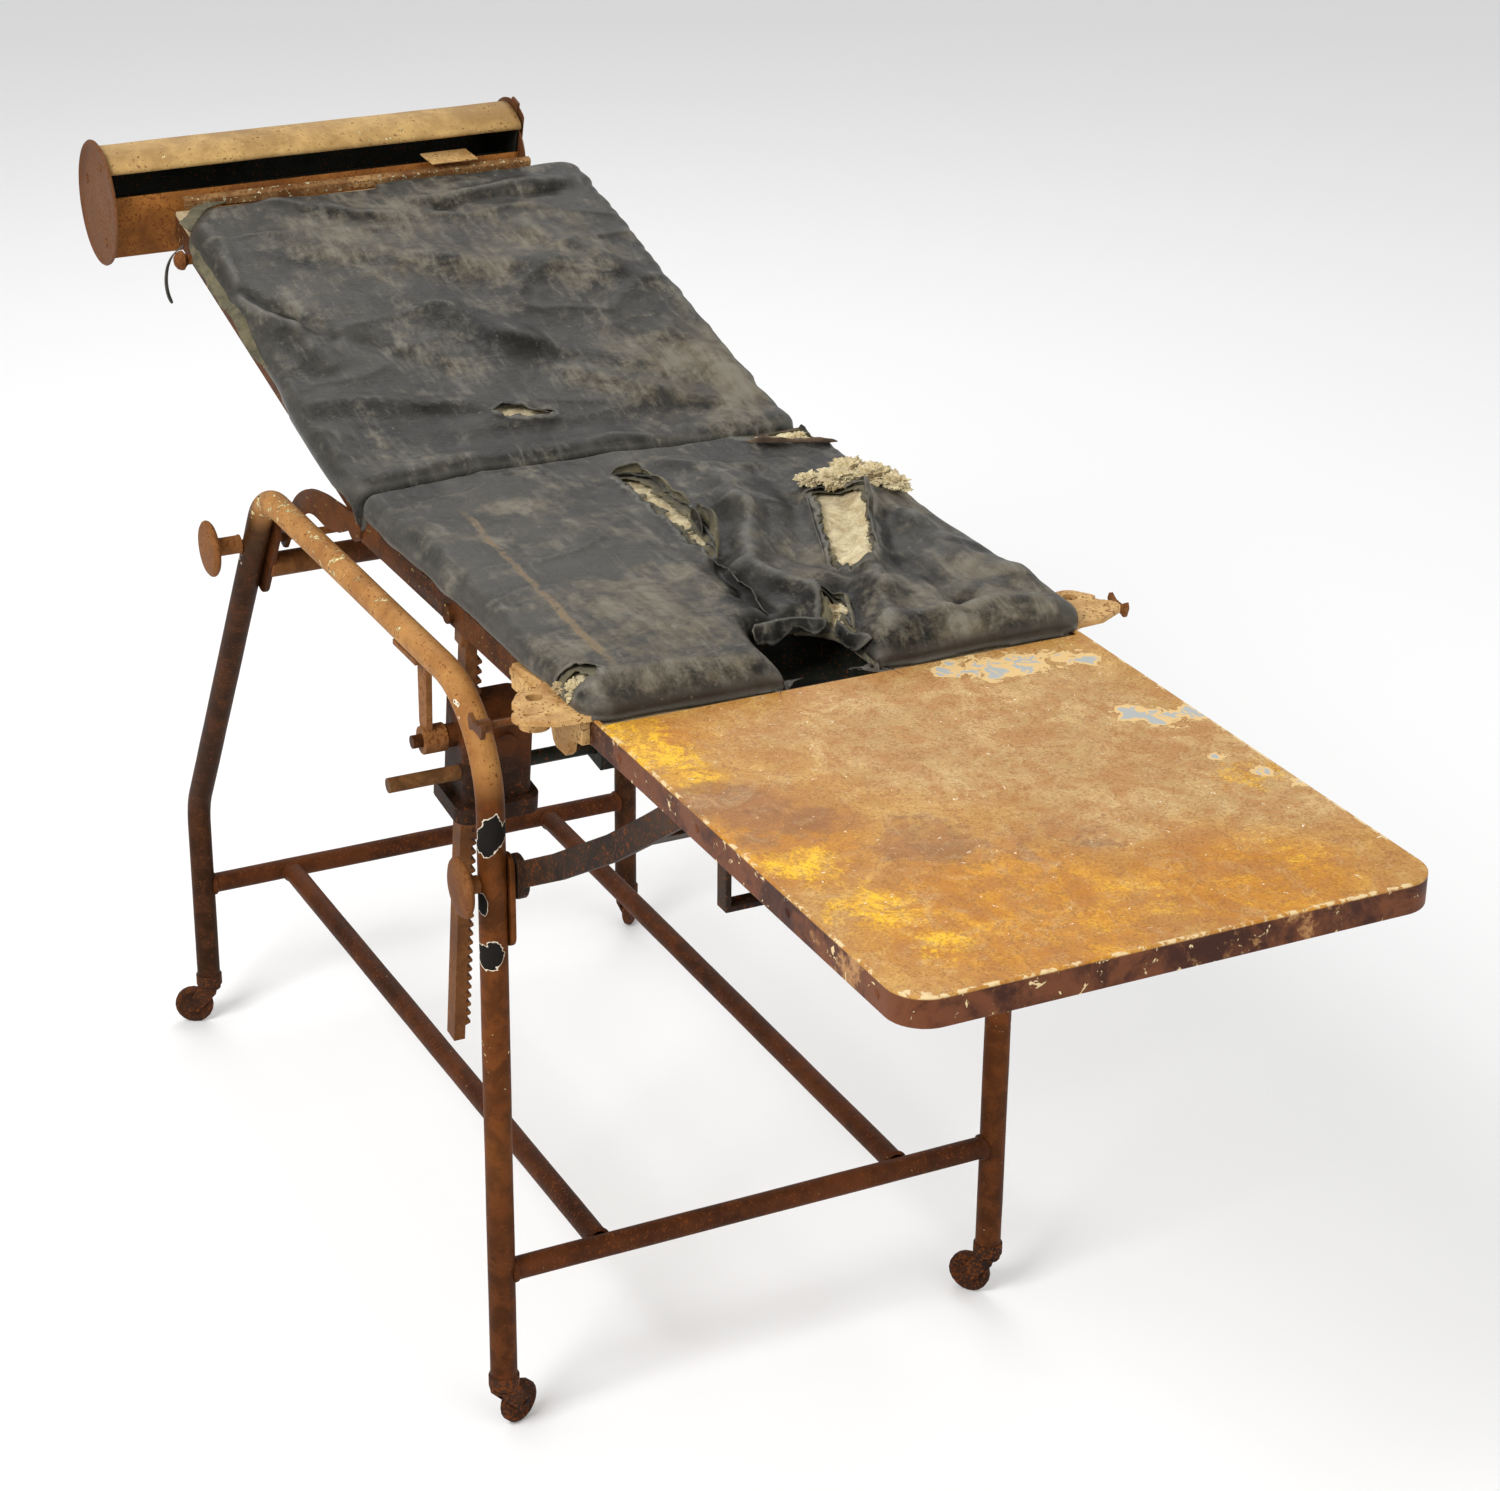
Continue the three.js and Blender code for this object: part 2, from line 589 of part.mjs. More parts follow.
function backrestRail(side) {
  const shape = new THREE.Shape();
  const half = BAR_DEEP / 2;
  const middle = BACK_RAIL_TOP - half;
  shape.moveTo(-BACK_LENGTH, BACK_RAIL_TOP);
  shape.lineTo(-BACK_LENGTH, BACK_RAIL_TOP - BAR_DEEP);
  shape.absarc(0, middle, half, -Math.PI / 2, Math.PI / 2);
  shape.holes.push(roundHole(0, 0, HINGE_PIN_R + GAP));
  const pivot = rodY(PIVOT_R + GAP, -BACK_RAIL_Y - 1, -BACK_RAIL_Y + BAR_T + 1, -STAY_LENGTH, 0, 12);
  return onSide(side, join([slabY(shape, -BACK_RAIL_Y, -BACK_RAIL_Y + BAR_T)], [pivot]));
}

function backCushion() {
  const bottom = BACK_RAIL_TOP + GAP + BOARD_T + GAP;
  const top = bottom + BACK_CUSHION_T;
  const shape = outline([
    [-BACK_LENGTH, bottom], [-14, bottom], [-24, top - 2], [-40, top],
    [-BACK_LENGTH + 14, top], [-BACK_LENGTH, top - 6],
  ]);
  return slabY(shape, -CUSHION_Y - 3, CUSHION_Y + 3);
}

for (const [name, side] of SIDES) {
  piece(`backrest_rail_${name}`, rustyIron, backrestRail(side), backrest);
}
const backInner = BACK_RAIL_Y - BAR_T - GAP;
piece('backrest_head_bar', rustyIron, block(-BACK_LENGTH, -BACK_LENGTH + BAR_T, -backInner, backInner,
  BACK_RAIL_TOP - BAR_DEEP, BACK_RAIL_TOP), backrest);
piece('backrest_foot_bar', rustyIron,
  block(FOOT_BAR_X, FOOT_BAR_X + BAR_T, -backInner, backInner, -3, BACK_RAIL_TOP), backrest);
piece('stay_pivot_rod', rustyIron,
  rodY(PIVOT_R, -BACK_RAIL_Y - 2, BACK_RAIL_Y + 2, -STAY_LENGTH, 0, 12), backrest);
piece('backrest_board', plywood, block(-BACK_LENGTH, -18, -BACK_RAIL_Y, BACK_RAIL_Y,
  BACK_RAIL_TOP + GAP, BACK_RAIL_TOP + GAP + BOARD_T), backrest);
piece('backrest_cushion', oilcloth, backCushion(), backrest);

function backrestStay() {
  const link = (y) => {
    const shape = new THREE.Shape();
    shape.absarc(0, 0, 8, -Math.PI / 2, Math.PI / 2);
    shape.absarc(-STAY_LENGTH, 0, 6.5, Math.PI / 2, Math.PI * 1.5);
    shape.holes.push(roundHole(0, 0, PIVOT_R + GAP));
    return slabY(shape, y - 2.5, y + 2.5);
  };
  const foot = rodY(4, -TRACK_Y - 12, TRACK_Y + 12, -STAY_LENGTH, 0, 12);
  return join([link(-STAY_Y), link(STAY_Y), foot]);
}

const stay = new THREE.Group();
stay.position.set(-STAY_LENGTH, 0, 0);
stay.rotation.y = -2 * BACK_ANGLE;
backrest.add(stay);
piece('backrest_stay', rustyIron, backrestStay(), stay);

// ---------------------------------------------------------------- paper-roll holder
function rollHousing() {
  const start = Math.atan2(-52.5, ROLL_WALL_X - ROLL_X);
  const lip = ROLL_LIP_ANGLE - 2 * Math.PI;
  const steps = 18;
  const arc = (radius) => Array.from({ length: steps + 1 }, (_, i) => {
    const angle = start + (lip - start) * i / steps;
    return [ROLL_X + radius * Math.cos(angle), ROLL_Z + radius * Math.sin(angle)];
  });
  const outer = [[ROLL_WALL_X, ROLL_Z + 18.5], [ROLL_WALL_X, ROLL_Z - 52.5], ...arc(ROLL_R)];
  const inner = [
    [ROLL_WALL_X - SHEET_T, ROLL_Z + 18.5],
    [ROLL_WALL_X - SHEET_T, ROLL_Z - 50],
    ...arc(ROLL_R - SHEET_T).slice(1),
  ];
  return slabY(outline([...outer, ...inner.reverse()]), ROLL_NEAR_Y, ROLL_FAR_Y);
}

piece('roll_housing', framePaint, rollHousing(), backrest);
piece('roll_disc_near', framePaint,
  rodY(ROLL_DISC_R, ROLL_NEAR_Y - GAP - 2, ROLL_NEAR_Y - GAP, ROLL_X, ROLL_Z, 40), backrest);
piece('roll_disc_far', rustyIron, join([
  rodY(ROLL_FAR_DISC_R, ROLL_FAR_Y + GAP, ROLL_FAR_Y + GAP + 2, ROLL_X, ROLL_Z, 32),
  block(ROLL_X - 8, ROLL_X + 8, ROLL_FAR_Y + 2, ROLL_FAR_Y + 5, ROLL_Z - 10, ROLL_Z + 66),
]), backrest);
piece('roll_spindle', rustyIron, rodY(5, ROLL_NEAR_Y + GAP, ROLL_FAR_Y - GAP, ROLL_X, ROLL_Z, 12), backrest);

function rollStrap(y) {
  const wall = ROLL_WALL_X + GAP;
  const bar = -BACK_LENGTH - GAP;
  const shape = outline([[wall, -8], [wall + 3, -8], [wall + 3, 15], [bar, 15], [bar, 18], [wall, 18]]);
  return slabY(shape, y - STRAP_HALF, y + STRAP_HALF);
}

for (const [name, y] of Object.entries(STRAP_Y)) {
  piece(`roll_strap_${name}`, framePaint, rollStrap(y), backrest);
}

// ---------------------------------------------------------------- foot panel and its bail
function panelOutline(inset, headX) {
  const y = SEAT_Y - inset;
  const foot = PANEL_FOOT_X - inset;
  const radius = PANEL_CORNER_R - inset;
  const shape = new THREE.Shape();
  shape.moveTo(headX, -y);
  shape.lineTo(foot - radius, -y);
  shape.absarc(foot - radius, -y + radius, radius, -Math.PI / 2, 0);
  shape.absarc(foot - radius, y - radius, radius, 0, Math.PI / 2);
  shape.lineTo(headX, y);
  return shape;
}

function footPanel() {
  const half = BAR_DEEP / 2;
  const ear = new THREE.Shape();
  ear.moveTo(EAR_END_X, PANEL_HINGE_Z - half);
  ear.lineTo(EAR_END_X, PANEL_HINGE_Z + half);
  ear.absarc(PANEL_HINGE_X, PANEL_HINGE_Z, half, Math.PI / 2, Math.PI * 1.5);
  ear.holes.push(roundHole(PANEL_HINGE_X, PANEL_HINGE_Z, PANEL_PIN_R + GAP));
  const nearEar = slabY(ear, -SEAT_Y, -SEAT_Y + BAR_T);
  const tray = join(
    [slabZ(panelOutline(0, PANEL_HEAD_X), PANEL_TOP - BAR_DEEP, PANEL_TOP)],
    [slabZ(panelOutline(BAR_T, PANEL_HEAD_X - 5), PANEL_TOP - BAR_DEEP - 5, PANEL_TOP - PANEL_SHEET_T)]);
  return join([tray, nearEar, mirroredY(nearEar)]);
}

function panelLoop() {
  const top = PANEL_TOP - PANEL_SHEET_T - GAP;
  const legs = [LOOP_NEAR_Y, LOOP_FAR_Y].map((y) => (
    block(LOOP_X - LOOP_HALF, LOOP_X + LOOP_HALF, y - LOOP_T / 2, y + LOOP_T / 2, LOOP_BOTTOM, top)));
  const bar = block(LOOP_X - LOOP_HALF, LOOP_X + LOOP_HALF, LOOP_NEAR_Y, LOOP_FAR_Y,
    LOOP_BOTTOM, LOOP_BOTTOM + LOOP_T);
  return join([...legs, bar]);
}

function supportArm(side) {
  const section = outline([
    [-ARM_DEEP / 2, -ARM_THICK / 2], [ARM_DEEP / 2, -ARM_THICK / 2],
    [ARM_DEEP / 2, ARM_THICK / 2], [-ARM_DEEP / 2, ARM_THICK / 2],
  ]);
  const path = new BentPath([
    { at: [FOOT_LEG_X, -ARM_Y, ARM_PIVOT_Z] },
    { at: [936, -ARM_Y, 612] },
    { at: [1017, -218, 663] },
    { at: [1075, -ARM_TIP_Y, 704] },
    { at: [1132, -ARM_TIP_Y, 744] },
  ]);
  const boss = rodY(20, -ARM_Y - ARM_THICK / 2, -ARM_Y + ARM_THICK / 2, FOOT_LEG_X, ARM_PIVOT_Z, 20);
  const hole = rodY(ARM_BOLT_R + GAP, -ARM_Y - 10, -ARM_Y + 10, FOOT_LEG_X, ARM_PIVOT_Z, 12);
  return onSide(side, join([sweep(section, path), boss], [hole]));
}

piece('foot_panel', panelPaint, footPanel());
piece('panel_loop', darkIron, panelLoop());
for (const [name, side] of SIDES) piece(`support_arm_${name}`, darkIron, supportArm(side));
const bailBar = new THREE.Group();
bailBar.position.set(BAIL_X, 0, BAIL_Z);
bailBar.rotation.y = -BAIL_TILT;
table.add(bailBar);
const bailEnd = ARM_TIP_Y - ARM_THICK / 2 - GAP;
piece('support_cross_bar', darkIron, block(-BAIL_HALF, BAIL_HALF, -bailEnd, bailEnd, -11, -5), bailBar);

// ---------------------------------------------------------------- lift, in the racks' frame
const lift = new THREE.Group();
lift.position.set(RACK_PIN_X, 0, RACK_PIN_Z);
lift.rotation.y = RACK_LEAN;
table.add(lift);

function rack(side) {
  const root = RACK_TIP_Y - TOOTH_DEEP;
  const corners = [[root, RACK_BOTTOM], [RACK_BACK_Y, RACK_BOTTOM], [RACK_BACK_Y, -20], [root, -20]];
  for (let tooth = 0; tooth < RACK_TEETH; tooth += 1) {
    const middle = PINION_Z + (7 - tooth) * TOOTH_PITCH;
    corners.push([root, middle + TOOTH_ROOT_HALF], [RACK_TIP_Y, middle + TOOTH_TIP_HALF]);
    corners.push([RACK_TIP_Y, middle - TOOTH_TIP_HALF], [root, middle - TOOTH_ROOT_HALF]);
  }
  const bar = slabX(outline(corners), -RACK_HALF, RACK_HALF);
  const head = rodY(11, -218.5, -205, 0, 0, 20);
  const neck = block(-8, 8, -216, -203, -32, -4);
  const eye = rodY(8.5, -221, -200, 0, 0, 16);
  return onSide(side, join([bar, head, neck], [eye]));
}

function gearHousing(side) {
  const outer = slabZ(roundedRectangle(-17, 37, -221, -155, 8), -180, -92, 3);
  const flange = slabZ(roundedRectangle(-27, 45, -229, -148, 14), -194, -178, 3);
  const boss = rodY(11, -230, -220, TRUNNION_X, TRUNNION_Z);
  const cavity = block(-12.5, 32.5, -216, -160, -176, -97);
  const throat = block(-PINION_HALF - GAP, PINION_HALF + GAP, -213, -194.5, -200, -85);
  const holes = [
    cavity, throat,
    rodY(CRANK_R + GAP, -235, -140, WORM_X, WORM_Z),
    rodX(PINION_SHAFT_R + GAP, -20, 40, PINION_Y, PINION_Z, 12),
  ];
  const housing = solidFrom(join([outer, flange, boss], holes));
  const bearingCap = rodX(12, 36.7, 42, PINION_Y, PINION_Z);
  const trunnion = rodY(TRUNNION_R, -261, -216.5, TRUNNION_X, TRUNNION_Z, 12);
  return onSide(side, geometryFrom(housing.add(solidFrom(bearingCap)).add(solidFrom(trunnion))));
}

function pinionShaft(side) {
  const phase = Math.PI + Math.PI / PINION_TEETH;
  const pinion = gearOutline(PINION_TEETH, 8.6, 13.9, 2.7, 1.2, phase);
  const wheel = gearOutline(WHEEL_TEETH, 17.5, 20.4, 1.9, 1.2, 0);
  const place = (geometry) => geometry.translate(0, PINION_Y, PINION_Z);
  return onSide(side, join([
    place(slabX(pinion, -PINION_HALF, PINION_HALF)),
    place(slabX(wheel, 16, 28)),
    rodX(PINION_SHAFT_R, -16.8, 36.4, PINION_Y, PINION_Z, 12),
  ]));
}

function worm() {
  const profile = [[CRANK_R - 2, -17]];
  for (let ridge = -1; ridge <= 1; ridge += 1) {
    const middle = ridge * 9;
    profile.push([8.4, middle - 2.6], [10.2, middle - 0.9], [10.2, middle + 0.9], [8.4, middle + 2.6]);
  }
  profile.push([CRANK_R - 2, 17], [CRANK_R - 2, -17]);
  const ring = new THREE.LatheGeometry(profile.map(([r, y]) => new THREE.Vector2(r, y)), 12);
  return ring.translate(WORM_X, PINION_Y, WORM_Z);
}

for (const [name, side] of SIDES) {
  piece(`rack_${name}`, framePaint, rack(side), lift);
  piece(`gear_housing_${name}`, rustyIron, gearHousing(side), lift);
  piece(`pinion_shaft_${name}`, brightSteel, pinionShaft(side), lift);
}
piece('crank_shaft', rustyIron, join([
  rodY(CRANK_R, CRANK_TIP_Y, 232, WORM_X, WORM_Z),
  worm(),
  mirroredY(worm()),
]), lift);
const couplingStart = COUPLING_Y - COUPLING_LENGTH / 2;
piece('shaft_coupling', darkIron, join(
  [block(WORM_X - COUPLING_HALF, WORM_X + COUPLING_HALF, couplingStart, couplingStart + COUPLING_LENGTH,
    WORM_Z - COUPLING_HALF, WORM_Z + COUPLING_HALF)],
  [rodY(CRANK_R + GAP, -95, -45, WORM_X, WORM_Z)]), lift);

// ---------------------------------------------------------------- casters
function casterFork() {
  const crown = rodZ(12.5, 42.6, LEG_BOTTOM - GAP, 0, 0);
  const stem = rodZ(STEM_R, 43, STEM_TOP, 0, 0, 12);
  const arm = outline([
    [-10, 46], [10, 46], [CASTER_TRAIL + 7, 24], [CASTER_TRAIL + 5, 15], [CASTER_TRAIL - 5, 15], [-8, 38],
  ]);
  const inner = WHEEL_HALF + 0.8;
  const arms = [slabY(arm, -inner - 2.5, -inner), slabY(arm, inner, inner + 2.5)];
  const crownBar = block(-9, 10, -inner - 1, inner + 1, 42.6, 46);
  const axle = rodY(3, -inner - 4, inner + 4, CASTER_TRAIL, WHEEL_R, 10);
  return join([crown, stem, ...arms, crownBar, axle]);
}

function casterWheel() {
  const profile = [
    [3 + GAP, -WHEEL_HALF], [9, -WHEEL_HALF], [10, -4], [15, -4], [17, -WHEEL_HALF + 0.5], [WHEEL_R, -3],
    [WHEEL_R, 3], [17, WHEEL_HALF - 0.5], [15, 4], [10, 4], [9, WHEEL_HALF], [3 + GAP, WHEEL_HALF],
  ];
  const points = [...profile, profile[0]].map(([r, y]) => new THREE.Vector2(r, y));
  return new THREE.LatheGeometry(points, 20).translate(CASTER_TRAIL, 0, WHEEL_R);
}

const CASTERS = [
  ['head_near', 0, -1, 243],
  ['foot_near', FOOT_LEG_X, -1, 113],
  ['head_far', 0, 1, 140],
  ['foot_far', FOOT_LEG_X, 1, 216],
];
for (const [name, x, side, heading] of CASTERS) {
  const caster = new THREE.Group();
  caster.position.set(x, side * FRAME_Y, 0);
  caster.rotation.z = THREE.MathUtils.degToRad(heading);
  table.add(caster);
  piece(`caster_fork_${name}`, casterIron, casterFork(), caster);
  piece(`caster_wheel_${name}`, casterIron, casterWheel(), caster);
}

// ---------------------------------------------------------------- centre on the floor
const box = new THREE.Box3().setFromObject(table, true);
const centre = box.getCenter(new THREE.Vector3());
table.position.set(-centre.x, -centre.y, 0);

export default table;
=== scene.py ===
# Looks for the medical exam table: smooth enamelled tubes, torn oilcloth upholstery, worn paint.
# Drawing sizes are millimetres with x = 0 at the head legs; at() turns them into the shared frame.

import json
import math
from functools import partial, reduce

import bmesh
import bpy
import numpy as np
from mathutils import Matrix, Vector, noise


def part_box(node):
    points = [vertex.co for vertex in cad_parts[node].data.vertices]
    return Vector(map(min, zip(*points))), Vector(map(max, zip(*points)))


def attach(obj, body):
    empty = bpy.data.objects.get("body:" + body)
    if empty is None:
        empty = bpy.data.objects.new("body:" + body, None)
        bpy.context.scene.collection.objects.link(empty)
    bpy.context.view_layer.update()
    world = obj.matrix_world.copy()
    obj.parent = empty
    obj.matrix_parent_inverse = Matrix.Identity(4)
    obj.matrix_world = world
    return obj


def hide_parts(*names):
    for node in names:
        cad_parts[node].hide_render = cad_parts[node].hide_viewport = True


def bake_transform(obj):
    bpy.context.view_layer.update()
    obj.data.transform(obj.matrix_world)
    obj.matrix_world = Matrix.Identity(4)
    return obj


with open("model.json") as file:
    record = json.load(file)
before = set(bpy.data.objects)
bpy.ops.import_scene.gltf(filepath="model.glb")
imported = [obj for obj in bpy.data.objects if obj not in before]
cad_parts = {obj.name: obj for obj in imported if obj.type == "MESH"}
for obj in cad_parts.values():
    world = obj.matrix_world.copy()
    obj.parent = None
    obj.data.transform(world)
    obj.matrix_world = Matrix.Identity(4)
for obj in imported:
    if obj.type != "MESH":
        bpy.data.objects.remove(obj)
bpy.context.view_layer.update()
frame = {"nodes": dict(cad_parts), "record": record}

MM = 0.001
FOOT_LEG_X, FRAME_Y = 845.0, 254.0
LEG_BOTTOM, LOW_RAIL_Z, KINK_Z, TOP_RAIL_Z = 46.5, 169, 266, 722
HEAD_BEND_X, STRETCHER_Y = 287, 154
FRAME_TUBE, LOW_TUBE, UPPER_TUBE = 12.7, 11, 12.5  # radii
PANEL_TOP, PANEL_FLANGE = 766, 223.0
low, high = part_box("cross_rail_foot")
ORIGIN_X = (low[0] + high[0]) / 2 - FOOT_LEG_X * MM
SIDES = (("near", -1), ("far", 1))


def at(x, y, z):
    return Vector((ORIGIN_X + x * MM, y * MM, z * MM))


def x_of(x):
    return at(x, 0, 0)[0]


# ---------------------------------------------------------------- the backrest's plane
BACK_ANGLE = math.radians(14.6)
HINGE = (465.0, 742.0)


def back_at(u, y, w):
    """A point u headward of the hinge along the backrest and w above its hinge line."""
    x = HINGE[0] - u * math.cos(BACK_ANGLE) + w * math.sin(BACK_ANGLE)
    z = HINGE[1] + u * math.sin(BACK_ANGLE) + w * math.cos(BACK_ANGLE)
    return at(x, y, z)


def back_point(x, y, z):
    """Same as back_at, for outlines drawn with x along the backrest (negative headward)."""
    return back_at(-x, y, z)


# ---------------------------------------------------------------- materials
class Shader:
    """Builds one procedural material; every texture is laid in the piece's own space."""

    def __init__(self, name, metallic=0.0, specular=0.5):
        self.material = bpy.data.materials.new(name)
        self.material.use_nodes = True
        self.tree = self.material.node_tree
        self.bsdf = self.tree.nodes["Principled BSDF"]
        self.bsdf.inputs["Metallic"].default_value = metallic
        self.bsdf.inputs["Specular IOR Level"].default_value = specular
        self.space = self.node("TexCoord").outputs["Object"]
        self.colour = None

    def put(self, socket, value):
        if isinstance(value, bpy.types.NodeSocket):
            self.tree.links.new(value, socket)
        else:
            socket.default_value = (*value, 1.0) if socket.type == "RGBA" else value

    def node(self, kind, *inputs, **settings):
        """A new node; each of inputs is a (socket, value or other node's output) pair."""
        node = self.tree.nodes.new("ShaderNode" + kind)
        for key, value in settings.items():
            setattr(node, key, value)
        for socket, value in inputs:
            self.put(node.inputs[socket], value)
        return node

    def noise(self, scale, detail, rough, warp, shift, stretch=(1, 1, 1)):
        place = self.node("Mapping", ("Vector", self.space), ("Scale", stretch),
                          ("Location", (shift, shift * 0.7, -shift * 0.4)))
        return self.node("TexNoise", ("Vector", place.outputs["Vector"]), ("Scale", scale), ("Detail", detail),
                         ("Roughness", rough), ("Distortion", warp)).outputs["Fac"]

    def step(self, value, start, end, low=0.0, high=1.0):
        return self.node("MapRange", ("Value", value), ("From Min", start), ("From Max", end), ("To Min", low),
                         ("To Max", high), interpolation_type="SMOOTHSTEP").outputs["Result"]

    def fall(self, value, start, end):
        """1 up to start, falling to 0 at end."""
        return self.step(value, start, end, 1.0, 0.0)

    def math(self, operation, a, b=0.0):
        return self.node("Math", (0, a), (1, b), operation=operation).outputs[0]

    def add(self, *values):
        """The sum of values, where a tuple stands for a product."""
        return reduce(partial(self.math, "ADD"), [self.times(*v) if isinstance(v, tuple) else v for v in values])

    def times(self, *values):
        return reduce(partial(self.math, "MULTIPLY"), values)

    def most(self, *values):
        return reduce(partial(self.math, "MAXIMUM"), values)

    def mix(self, factor, a, b):
        return self.node("Mix", ("Factor", factor), (6, a), (7, b), data_type="RGBA").outputs[2]

    def axis(self, name):
        return self.node("SeparateXYZ", (0, self.space)).outputs[name]

    def near(self, point, radius, soft=0.5):
        """1 at point, falling to 0 at radius, in metres."""
        away = self.node("VectorMath", (0, self.space), (1, tuple(point)), operation="DISTANCE")
        return self.fall(away.outputs["Value"], radius * (1 - soft), radius)

    def spots(self, spots, soft):
        """Masks for spots, each (point, radius, strength)."""
        return [self.times(self.near(point, radius, soft), strength) for point, radius, strength in spots]

    def bump(self, height, distance, strength=1.0):
        node = self.node("Bump", ("Height", height), ("Distance", distance), ("Strength", strength))
        self.put(self.bsdf.inputs["Normal"], node.outputs["Normal"])

    def coat(self, mask, paint, strength=None):
        """Lays paint over the colour so far, where mask is 1."""
        self.colour = self.mix(self.times(mask, strength) if strength else mask, self.colour, paint)

    def finish(self, roughness):
        self.put(self.bsdf.inputs["Base Color"], self.colour)
        self.put(self.bsdf.inputs["Roughness"], roughness)
        return self.material


CREAM = (0.74, 0.60, 0.30)
OLD_CREAM = (0.66, 0.58, 0.45)
BARE_BLACK = (0.012, 0.010, 0.009)
RUST = (0.13, 0.036, 0.008)
CHIP_CORE = (0.09, 0.040, 0.014)


def tint(colour, amount):
    return tuple(c * amount for c in colour)


def enamel(name, light, dark, chips=0.0, rust=0.5, gloss=0.46, seed=0.0, chip_colour=CREAM, spots=(), bare=(),
           zones=(), flake_scale=150):
    """Old brush enamel. spots are (point, radius, strength) where it has flaked to the undercoat, and
    bare are the same where it has gone down to black iron. zones are (mask function, colour, strength)."""
    s = Shader(name, specular=0.06)
    broad = s.noise(7, 5, 0.6, 0.6, seed)
    mottle = s.noise(46, 6, 0.65, 0.4, seed + 3)
    fine = s.noise(310, 3, 0.6, 0.0, seed + 5)
    tone = s.add((broad, 0.75), (mottle, 0.5))
    s.colour = s.mix(s.step(tone, 0.46, 0.80), dark, light)
    for mask, paint, strength in zones:
        reach = s.step(s.add(mask(s), (s.add(mottle, -0.5), 0.5)), 0.25, 0.75)
        patchy_paint = s.mix(s.step(mottle, 0.4, 0.62), paint, tint(paint, 1.9))
        s.coat(reach, patchy_paint, strength)
    speck = s.step(s.add(fine, (mottle, 0.35)), 0.80 - 0.12 * rust, 0.86 - 0.10 * rust)
    s.coat(speck, RUST, 0.8)
    drive = s.add(s.noise(flake_scale, 5, 0.66, 0.35, seed + 11), (chips - 0.5) * 0.16)
    if spots:
        drive = s.add(drive, (s.most(*s.spots(spots, 0.9)), 0.17))
    # a darker ring round each chip: painted shadow of the broken enamel edge
    s.coat(s.step(drive, 0.622, 0.634), tint(dark, 0.6), 0.75)
    chip = s.step(drive, 0.640, 0.650)
    s.coat(chip, s.mix(s.step(fine, 0.4, 0.6), chip_colour, tint(chip_colour, 0.6)))
    s.coat(s.step(drive, 0.705, 0.72), CHIP_CORE)
    if bare:
        reach = s.add(s.noise(26, 4, 0.62, 0.4, seed + 17), *(s.times(spot, 0.4) for spot in s.spots(bare, 0.95)))
        s.coat(s.step(reach, 0.70, 0.71), OLD_CREAM)
        patch = s.step(reach, 0.725, 0.735)
        s.coat(patch, BARE_BLACK)
        chip = s.most(chip, patch)
    s.bump(s.add((fine, 0.12), (mottle, 0.25), (chip, -0.55), (speck, 0.2)), 0.0012)
    return s.finish(s.add((mottle, 0.28), (chip, 0.25), gloss - 0.1))


def below(top, bottom):
    """A mask of what lies under bottom mm, fading out by top mm."""
    return lambda s: s.fall(s.axis("Z"), bottom * MM, top * MM)


def head_of(start, end, top, bottom):
    """A mask of what lies headward of start mm, fading out by end mm, and below(top, bottom)."""
    return lambda s: s.times(s.fall(s.axis("X"), x_of(start), x_of(end)), below(top, bottom)(s))


def around(point, radius):
    return lambda s: s.near(point, radius, 0.85)


flaked = [
    (at(300, -254, 730), 0.060, 1.0), (at(345, -250, 732), 0.065, 0.95), (at(392, -250, 732), 0.065, 0.90),
    (at(262, -254, 704), 0.035, 0.7), (at(440, -250, 732), 0.060, 0.85), (at(490, -250, 732), 0.055, 0.90),
    (at(545, -250, 732), 0.045, 0.75), (at(610, -250, 732), 0.040, 0.7), (at(670, -250, 730), 0.03, 0.7),
    (at(225, 254, 660), 0.12, 0.8), (at(320, 254, 728), 0.16, 0.9), (at(845, -254, 395), 0.06, 0.6),
    (at(845, 254, 330), 0.09, 0.5),
]
bare_iron = [
    (at(857, -252, 618), 0.026, 0.95), (at(853, -262, 600), 0.022, 0.95), (at(845, -267, 546), 0.020, 1.0),
    (at(854, -262, 496), 0.026, 1.0), (at(846, 266, 300), 0.03, 0.6), (at(240, -264, 640), 0.03, 0.5),
]
# the frame's zones darken it below the top rail, more towards the floor, and at the head end under the backrest:
# painted shade
FRAME_PAINT = enamel(
    "frame_enamel", (0.43, 0.215, 0.066), (0.25, 0.105, 0.030), chips=0.0, rust=0.1, seed=1.3, spots=flaked,
    bare=bare_iron, flake_scale=95,
    zones=[(below(705, 600), (0.062, 0.0165, 0.0032), 0.94), (below(420, 60), (0.034, 0.010, 0.003), 0.65),
           (head_of(246, 318, 770, 705), (0.026, 0.0100, 0.0040), 0.93)])
RAIL_PAINT = enamel("rail_enamel", (0.088, 0.026, 0.0075), (0.034, 0.011, 0.004), chips=0.12, rust=0.4, seed=4.1,
                    chip_colour=(0.42, 0.27, 0.12))
CROSS_PAINT = enamel("cross_tube_enamel", (0.060, 0.022, 0.009), (0.014, 0.007, 0.005), chips=-0.1, rust=0.4,
                     seed=6.2, zones=[(around(at(245, -240, 640), 0.13), (0.10, 0.04, 0.012), 0.8)])
SEAT_RAIL_PAINT = enamel(
    "seat_rail_enamel", (0.125, 0.045, 0.014), (0.036, 0.014, 0.006), chips=0.5, rust=0.7, seed=7.7,
    chip_colour=(0.62, 0.42, 0.13), zones=[(around(at(640, -223, 745), 0.10), (0.025, 0.010, 0.005), 0.8),
                                           (around(at(820, -223, 742), 0.08), (0.03, 0.012, 0.006), 0.7)])
